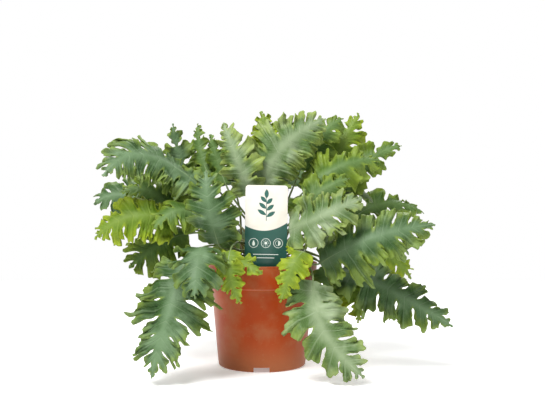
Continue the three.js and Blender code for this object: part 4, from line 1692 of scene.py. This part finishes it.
    def end_part(self, hand: int, rear: float, count: int) -> Grid:
        """The grid of one half of the end lobe.

        Args:
            hand: 1 or -1 for the side.
            rear: how far out the last sinus is.
            count: how many columns it has.

        Returns:
            Grids as lobe_part gives them.
        """
        blade = self.blade
        start, slope = blade.starts[-1], blade.slopes[hand][-1]
        length = blade.rib.length - start
        polar = [(rear / length, 1.0), *END_EDGE]
        reaches, turns = np.array(polar).T * [[length], [slope]]
        control = np.column_stack([start + reaches * np.cos(turns), reaches * np.sin(turns)])
        line = even_curve(np.vstack([control, (blade.rib.length, 0.35)]), count, 0.42)
        s = np.linspace(0, 1, count)
        free = smooth(s, 0.03, 0.25) * smooth(1 - s, 0, 0.12)
        travelled = np.concatenate([[0], np.cumsum(np.hypot(*np.diff(line, axis=0).T))])
        edge_x, edge_y = self.teeth(line[:, 0], line[:, 1], free * 0.8)
        r = self.spread[:, None]
        base = start + s * (length - 0.2)
        x, y = base + r * (edge_x - base), np.maximum(r * edge_y, 0)
        share = np.hypot(x - start, y) / length
        droop = -END_DROOP * length * share**2 * smooth(s, 0, 0.3)
        lift = droop + self.ruffled(r, travelled, free) * 0.7
        aside = np.minimum(y, 30)
        placed = {"x": x, "y": y, "lift": lift}
        return placed | {"aside": aside, "reach": x - start, "margin": r + 0 * x, "out": y}

    def half_blade(self, hand: int, counts: Sequence[int]) -> Grid:
        """The grid of one side of the blade, with the columns of all its lobes in order.

        Args:
            hand: 1 or -1 for the side.
            counts: the columns of each lobe and of the end lobe.

        Returns:
            The grids.
        """
        frond, side = self.blade.frond, [lobe for lobe in self.blade.lobes if lobe.hand == hand]
        depths = [WING]
        depths += [frond.cut * min(lobe.full, after.full) for lobe, after in zip(side, side[1:])]
        depths.append(END_SINUS * (self.blade.rib.length - side[-1].end))
        parts = []
        for lobe, rear, front, count in zip(side, depths, depths[1:], counts):
            part = self.lobe_part(lobe, rear, front, count + 1, frond.cut)
            parts.append({key: grid[:, :-1] for key, grid in part.items()})
        parts.append(self.end_part(hand, depths[-1], counts[-1]))
        return {key: np.hstack([part[key] for part in parts]) for key in parts[0]}

    def columns(self) -> list[int]:
        """How many columns each pair of lobes has, and then the end lobe.

        Returns:
            The counts.
        """
        counts = []
        for j in range(self.blade.frond.pairs):
            longest = max(lobe.full for lobe in self.blade.lobes[2 * j : 2 * j + 2])
            round_it = longest * (1 - self.blade.frond.cut) * 2.9 + 8
            counts.append(int(np.clip(round_it / self.pitch, 20, 62)))
        return [*counts, int(np.clip((self.blade.rib.length * (1 - LOBES_END)) * 2.6 / self.pitch, 18, 40))]

    def blade_piece(self) -> bpy.types.Object:
        """The blade: a plain grid laid over both sides of the rib, and given its thickness.

        Returns:
            The blade.
        """
        counts = self.columns()
        halves = {hand: self.half_blade(hand, counts) for hand in (1, -1)}
        rows, columns = 2 * self.rows + 1, halves[1]["x"].shape[1]
        bpy.ops.mesh.primitive_grid_add(x_subdivisions=columns - 1, y_subdivisions=rows - 1, size=2)
        piece = added("blade")
        place = points_of(piece) * MM
        column = np.rint((place[:, 0] + 1) / 2 * (columns - 1)).astype(int)
        row = np.rint((place[:, 1] + 1) / 2 * (rows - 1)).astype(int) - self.rows
        points = np.zeros((len(place), 3))
        readings = {key: np.zeros(len(place)) for key in ("margin", "aside", "reach", "out")}
        for hand in (1, -1):
            grid = halves[hand]
            there = row * hand >= 0
            where = (np.abs(row[there]), column[there])
            x, y, lift = (grid[key][where] for key in ("x", "y", "lift"))
            points[there] = self.blade.rib.place(x, y, hand, lift)
            for key, values in readings.items():
                values[there] = grid[key][where]
        set_points(piece, points)
        for key, values in readings.items():
            set_attribute(piece, "leaf_" + key, values)
        set_attribute(piece, "leaf_age", self.draw(-1, 1))
        faces = {"material_offset": 1, "material_offset_rim": 0}
        finished_by(piece, "SOLIDIFY", thickness=self.thickness * MM, offset=0, **faces)
        return piece

    def stalk_piece(self) -> bpy.types.Object:
        """The stem from the rhizome, and the rib that it becomes in the blade.

        Returns:
            The stalk.
        """
        rib = self.blade.rib
        low = np.array([*self.site, self.ground - HOLE_DEPTH + 0.3])
        ground = np.array([*self.site, self.ground])
        reach = float(np.linalg.norm(rib.knee - ground))
        ahead = rib.at(0.0)[1][0]
        first, second = ground + (0, 0, STEM_RISE * reach), rib.knee - ahead * STEM_ARRIVE * reach
        t = np.linspace(0, 1, 18)[:-1, None]
        stem = (1 - t) ** 3 * ground + 3 * t * (1 - t) ** 2 * first
        stem = stem + 3 * t**2 * (1 - t) * second + t**3 * rib.knee
        # The rib fades out just short of the tip
        along = np.linspace(0, rib.length * self.rib_end, 30)
        ribbed = rib.place(along, 0 * along, 1, -self.rib_sunk)
        line = np.vstack([low, stem, ribbed])
        thick, thin = np.linspace(*self.stem_radii, len(stem)), np.linspace(*self.rib_radii, len(along))
        radii = np.concatenate([[self.foot_radius], thick, thin])
        piece = tube("stalk", line, radii)
        points = points_of(piece)
        nearest = np.linalg.norm(points[:, None] - line[None], axis=2).argmin(axis=1)
        set_attribute(piece, "stalk_share", nearest / (len(line) - 1))
        return piece

    def build(self, upper: bpy.types.Material, under: bpy.types.Material, stalk: bpy.types.Material) -> None:
        """Makes the frond one piece and dresses it.

        Args:
            upper: the upper side's finish.
            under: the underside's finish.
            stalk: the stalk's finish.
        """
        frond = self.blade.frond
        blade, stem = self.blade_piece(), self.stalk_piece()
        for material in (upper, under):
            blade.data.materials.append(material)
        stem.data.materials.append(stalk)
        piece = joined("fern_" + frond.name, [blade, stem])
        smooth_shaded(piece)
        dressed(piece, "frond_" + frond.tone.value, (), "frond_" + frond.name)


# The fronds that can be told apart from the front
FRONDS = (
    Frond("front_left_hanging", (-78, -58, 116), (-92, -94, 64), (-106, -110, 8),
          (-0.3, -1, 0.4), 49, 6, 0.28, 8, 18, Tone.BLUE),
    Frond("front_right_hanging", (52, -74, 98), (61, -98, 52), (100, -110, 9),
          (0.1, -1, 0.4), 39, 5, 0.28, 6, 14, Tone.PALE),
    Frond("rim_right_small", (54, -58, 121), (47, -79, 109), (34, -85, 72),
          (0, -1, 0.4), 20, 4, 0.4, 10, 16, Tone.LIME),
    Frond("front_left_upright", (-44, -54, 134), (-52, -72, 170), (-57, -58, 210),
          (-0.2, -1, 0.3), 33, 5, 0.36, 8, 14, Tone.BLUE),
    Frond("front_left_nodding", (-58, -70, 144), (-61, -102, 134), (-62, -122, 98),
          (0, -0.8, 1), 36, 4, 0.4, 6, 14, Tone.BLUE),
    Frond("right_low_long", (84, -28, 104), (136, -38, 84), (200, -42, 47),
          (0, -0.9, 0.7), 40, 6, 0.26, 10, 18, Tone.BLUE),
    Frond("right_mid_long", (66, -44, 108), (119, -60, 135), (183, -44, 149),
          (0, -1, 0.5), 43, 6, 0.34, 6, 16, Tone.BLUE),
    Frond("right_pale", (31, -48, 142), (64, -72, 157), (106, -62, 176),
          (0, -1, 0.5), 36, 5, 0.2, 4, 14, Tone.PALE),
    Frond("top_pale", (2, -26, 186), (20, -26, 232), (70, -2, 268),
          (0.1, -1, 0.1), 42, 6, 0.42, 4, 10, Tone.PALE),
    Frond("top_left_pale", (-12, -30, 184), (-27, -32, 223), (-42, -16, 262),
          (-0.4, -1, 0), 27, 5, 0.42, 8, 14, Tone.PALE),
    Frond("upper_left_long", (-70, -8, 196), (-124, -30, 226), (-160, -64, 204),
          (-0.3, -1, 0.6), 44, 6, 0.3, 8, 14, Tone.BLUE),
    Frond("right_upper_long", (44, -22, 187), (82, -30, 214), (128, -12, 222),
          (0.1, -0.9, 0.7), 38, 5, 0.4, 14, 22, Tone.GREEN),
    Frond("left_lime", (-92, -26, 154), (-134, -42, 162), (-176, -36, 138),
          (-0.1, -1, 0.5), 34, 5, 0.32, 10, 18, Tone.LIME),
    Frond("left_dark", (-116, 28, 168), (-156, 34, 184), (-192, 36, 174),
          (0, -1, 0.5), 34, 4, 0.3, 10, 18, Tone.BLUE),
    Frond("left_low", (-80, -6, 142), (-112, -14, 130), (-142, -20, 106),
          (-0.2, -1, 0.6), 38, 4, 0.32, 12, 18, Tone.GREEN),
    Frond("left_inner", (-60, -34, 168), (-82, -52, 180), (-106, -64, 160),
          (-0.2, -1, 0.7), 31, 4, 0.34, 10, 18, Tone.GREEN),
    Frond("rim_left_small", (-38, -50, 120), (-20, -72, 117), (2, -80, 106),
          (0, -0.8, 1), 20, 3, 0.34, 12, 16, Tone.LIME),
    Frond("low_left_lime", (-42, -58, 116), (-45, -76, 92), (-34, -80, 64),
          (-0.2, -1, 0.5), 24, 4, 0.34, 12, 18, Tone.LIME),
    Frond("right_far", (100, 30, 156), (141, 40, 174), (186, 46, 164),
          (0, -1, 0.8), 28, 4, 0.24, 10, 16, Tone.GREEN),
    Frond("right_lime", (94, 12, 114), (136, 22, 118), (168, 26, 90),
          (0.2, -1, 0.6), 30, 4, 0.4, 10, 18, Tone.LIME),
    Frond("top_right_lime", (72, 22, 204), (91, 28, 242), (110, 42, 278),
          (0, -1, 0.3), 28, 4, 0.34, 10, 16, Tone.LIME),
    Frond("left_top_inner", (-64, 2, 184), (-88, -4, 210), (-122, -6, 212),
          (-0.1, -1, 0.6), 30, 4, 0.34, 12, 18, Tone.GREEN),
    Frond("left_mid", (-88, 14, 160), (-120, 8, 186), (-156, 2, 188),
          (0, -1, 0.5), 34, 4, 0.32, 12, 18, Tone.GREEN),
    Frond("upper_left_thin", (-88, 18, 198), (-98, 14, 230), (-104, 8, 264),
          (-0.3, -1, 0), 21, 3, 0.16, 8, 10, Tone.BLUE),
    Frond("top_left", (-61, 16, 186), (-73, 24, 216), (-78, 34, 248),
          (-0.3, -1, 0.2), 24, 4, 0.32, 10, 14, Tone.GREEN),
    Frond("top_left_curl", (-40, 6, 196), (-51, 12, 226), (-58, 20, 252),
          (-0.3, -1, 0.2), 20, 3, 0.34, 12, 18, Tone.GREEN),
    Frond("top_ridge", (40, 16, 212), (60, 20, 247), (86, 36, 270),
          (0, -1, 0.4), 30, 4, 0.34, 10, 18, Tone.GREEN),
    Frond("top_middle_lime", (6, 22, 214), (6, 30, 248), (-2, 42, 280),
          (0, -1, 0.4), 25, 4, 0.34, 10, 16, Tone.LIME),
    Frond("top_right_fringe", (90, 2, 190), (118, -4, 222), (152, -8, 238),
          (0, -1, 0.4), 24, 3, 0.3, 6, 8, Tone.GREEN),
    Frond("right_inner", (38, -42, 166), (60, -50, 188), (90, -46, 202),
          (0, -1, 0.6), 27, 4, 0.4, 12, 18, Tone.GREEN),
    Frond("right_curl", (76, 2, 168), (100, 0, 188), (122, -8, 176),
          (0.1, -0.8, 0.8), 17, 3, 0.3, 16, 24, Tone.PALE),
    Frond("low_right_lime", (84, -8, 104), (98, -20, 82), (103, -26, 48),
          (0.3, -1, 0.5), 23, 3, 0.34, 12, 18, Tone.LIME),
    Frond("low_right_dark", (66, -24, 114), (72, -44, 84), (64, -50, 54),
          (0.4, -1, 0.5), 22, 3, 0.3, 12, 18, Tone.GREEN),
    Frond("label_left_small", (-24, -44, 124), (-30, -58, 140), (-26, -60, 158),
          (0.2, -1, 0.3), 17, 3, 0.3, 8, 12, Tone.GREEN),
)


@dataclass
class Crown:
    """All fronds of the plant."""

    rhizome: CreepingRhizome
    back_count: int = 6
    back_first: float = 30
    back_step: float = 24
    back_seed: int = 71

    def back_fronds(self) -> list[Frond]:
        """The fronds on the side away from the label, in three tiers by turns.

        Returns:
            The fronds.
        """
        tiers = (
            ((62, 134), (116, 138), (160, 88), 36, 4, Tone.GREEN),
            ((50, 196), (88, 236), (126, 236), 33, 4, Tone.BLUE),
            ((66, 158), (120, 182), (172, 158), 36, 5, Tone.GREEN),
        )
        draw, made = seeded(self.back_seed), []
        for i in range(self.back_count):
            *heights, half, pairs, tone = tiers[i % len(tiers)]
            turn = self.back_first + self.back_step * i + draw(-5, 5)
            stretch, bow = draw(0.92, 1.06), draw(-8, 8)
            points = []
            for (reach, z), swing in zip(heights, (0, bow / 2, bow)):
                angle = math.radians(turn + swing)
                points.append((reach * stretch * math.cos(angle), reach * stretch * math.sin(angle), z))
            face = (0.4 * math.cos(math.radians(turn)), 0.4 * math.sin(math.radians(turn)), 1)
            made.append(Frond(f"back_{i + 1}", *points, face, half, pairs, draw(0.34, 0.46), 16, 20, tone))
        return made

    def site_of(self, solid: np.ndarray) -> tuple[float, float]:
        """The rooting site that a solid's stem stands in, by the ring of its foot.

        Args:
            solid: the vertices of a frond's CAD node.

        Returns:
            The site.
        """
        foot = self.rhizome.rest + self.rhizome.height - HOLE_DEPTH + 0.3
        ring = solid[np.abs(solid[:, 2] - foot) < 0.1][:, :2]

        def matches(site: tuple[float, float]) -> int:
            """How many of the foot's vertices stand round a site."""
            return int((np.abs(np.hypot(*(ring - site).T) - STEM_RADIUS) < 0.1).sum())

        return max(self.rhizome.sites(), key=matches)

    def build(self) -> None:
        """Builds every frond over its solid."""
        uppers, unders = leaf_finishes()
        stalk = FernStalk("wiry_fern_stalk").make()
        ground = self.rhizome.rest + self.rhizome.height
        for frond in [*FRONDS, *self.back_fronds()]:
            node = "frond_" + frond.name
            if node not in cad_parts:
                LOG.warning("%s is not in the frame", node)
                continue
            solid = np.unique(np.round(points_of(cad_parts[node]), 3), axis=0)
            margin = YOUNG_MARGIN if frond.tone is Tone.LIME else {}
            fine = FineFrond(settled(frond, solid), self.site_of(solid), ground, **margin)
            fine.build(uppers[frond.tone], unders[frond.tone], stalk)


def leaf_finishes() -> tuple[dict[Tone, bpy.types.Material], dict[Tone, bpy.types.Material]]:
    """The upper and under finish of each tone of leaf.

    Returns:
        The upper and the under finishes, by tone.
    """
    edge_from = {Tone.BLUE: 0.42, Tone.GREEN: 0.25, Tone.PALE: 0.4, Tone.LIME: 0.12}
    waxed = {Tone.BLUE: 0.65, Tone.GREEN: 0.35, Tone.PALE: 0.8, Tone.LIME: 0.3}
    shades = {
        Tone.BLUE: ("#3a582c", "#7e9974", "#768b34", "#8aa07c", "#7f9c34"),
        Tone.GREEN: ("#3b5b19", "#78945c", "#7c9230", "#7b9356", "#84a01f"),
        Tone.PALE: ("#54703b", "#a8b894", "#8b9e4a", "#aab998", "#94aa48"),
        Tone.LIME: ("#587818", "#849a48", "#98aa28", "#9cae50", "#a8b81c"),
    }
    backs = {Tone.BLUE: "#52703f", Tone.GREEN: "#526f2c", Tone.PALE: "#728a58", Tone.LIME: "#698625"}
    uppers, unders = {}, {}
    for tone, (body, *others) in shades.items():
        both = {"edge_from": edge_from[tone], "waxed": waxed[tone]}
        uppers[tone] = WaxyLeaf(f"waxy_leaf_{tone.value}", body, *others, **both).make()
        under = WaxyLeaf(f"leaf_underside_{tone.value}", backs[tone], *others, roughness=0.62, **both)
        unders[tone] = under.make()
    return uppers, unders


# Studio


@dataclass
class Studio:
    """Floor, light and the camera at the photograph's place."""

    camera_at: tuple[float, float, float] = (11.4, -900, 184)
    pitch: float = 0.35
    lens: float = 54.56
    sensor: float = 36
    floor_size: float = 1700
    world_light: float = 0.23
    floor_glow: float = 0.3

    def lamp(self, name: str, place: Spot, size: float, power: float) -> None:
        """A square area light at a place in millimetres that looks at the plant.

        Args:
            name: the lamp's name.
            place: where it is.
            size: the side of its square.
            power: watts.
        """
        data = bpy.data.lights.new(name, "AREA")
        data.shape, data.size, data.energy = "SQUARE", size * MM, power
        lamp = bpy.data.objects.new(name, data)
        bpy.context.scene.collection.objects.link(lamp)
        lamp.location = Vector(place) * MM
        lamp.rotation_euler = (Vector((0, 0, 130)) * MM - lamp.location).to_track_quat("-Z", "Y").to_euler()

    def build(self) -> None:
        """Sets the floor, the lights and the camera."""
        scene = bpy.context.scene
        scene.view_settings.view_transform = "Standard"
        bpy.ops.object.select_all(action="DESELECT")
        bpy.ops.mesh.primitive_plane_add(size=self.floor_size * MM)
        floor = added("floor")
        floor.data.materials.append(LitAcrylic("lit_acrylic", self.floor_glow).make())
        world = bpy.data.worlds.new("studio")
        world.use_nodes = True
        background = world.node_tree.nodes["Background"]
        background.inputs["Color"].default_value = (1, 1, 1, 1)
        seen = add_node(world.node_tree, "ShaderNodeLightPath", output="Is Camera Ray")
        strength = add_node(world.node_tree, RANGE, span(seen, 0, 1, self.world_light, 1))
        world.node_tree.links.new(strength, background.inputs["Strength"])
        scene.world = world
        self.lamp("key", (-500, -700, 1500), 800, 41)
        self.lamp("fill", (1100, -900, 500), 900, 4)
        self.lamp("back", (200, 1200, 1100), 1100, 14)
        data = bpy.data.cameras.new("camera")
        data.lens, data.sensor_width = self.lens, self.sensor
        camera = bpy.data.objects.new("camera", data)
        scene.collection.objects.link(camera)
        camera.location = Vector(self.camera_at) * MM
        camera.rotation_euler = (math.radians(90 - self.pitch), 0, 0)
        scene.camera = camera


def main() -> None:
    """Builds the pieces in the order in which they carry each other."""
    logging.basicConfig(level=logging.INFO, format="%(message)s")
    Studio().build()
    pot = NurseryPot()
    pot.build(MouldedPolypropylene("moulded_polypropylene_brick").make())
    compost = Compost(pot)
    compost.build(PeatCompost("peat_compost").make())
    rhizome = CreepingRhizome(compost)
    scales = GoldenFelt("rhizome_scales", "#7d4f20", "#d09a52")
    rhizome.build(GoldenFelt("rhizome_felt").make(), scales.make())
    PlantLabel().build(
        PrintedPolystyrene("printed_polystyrene").make(),
        PrintInk("ink_dark_green").make(),
        PrintInk("ink_off_white", "#dfe6dd").make(),
    )
    Crown(rhizome).build()


if __name__ == "__main__":
    main()
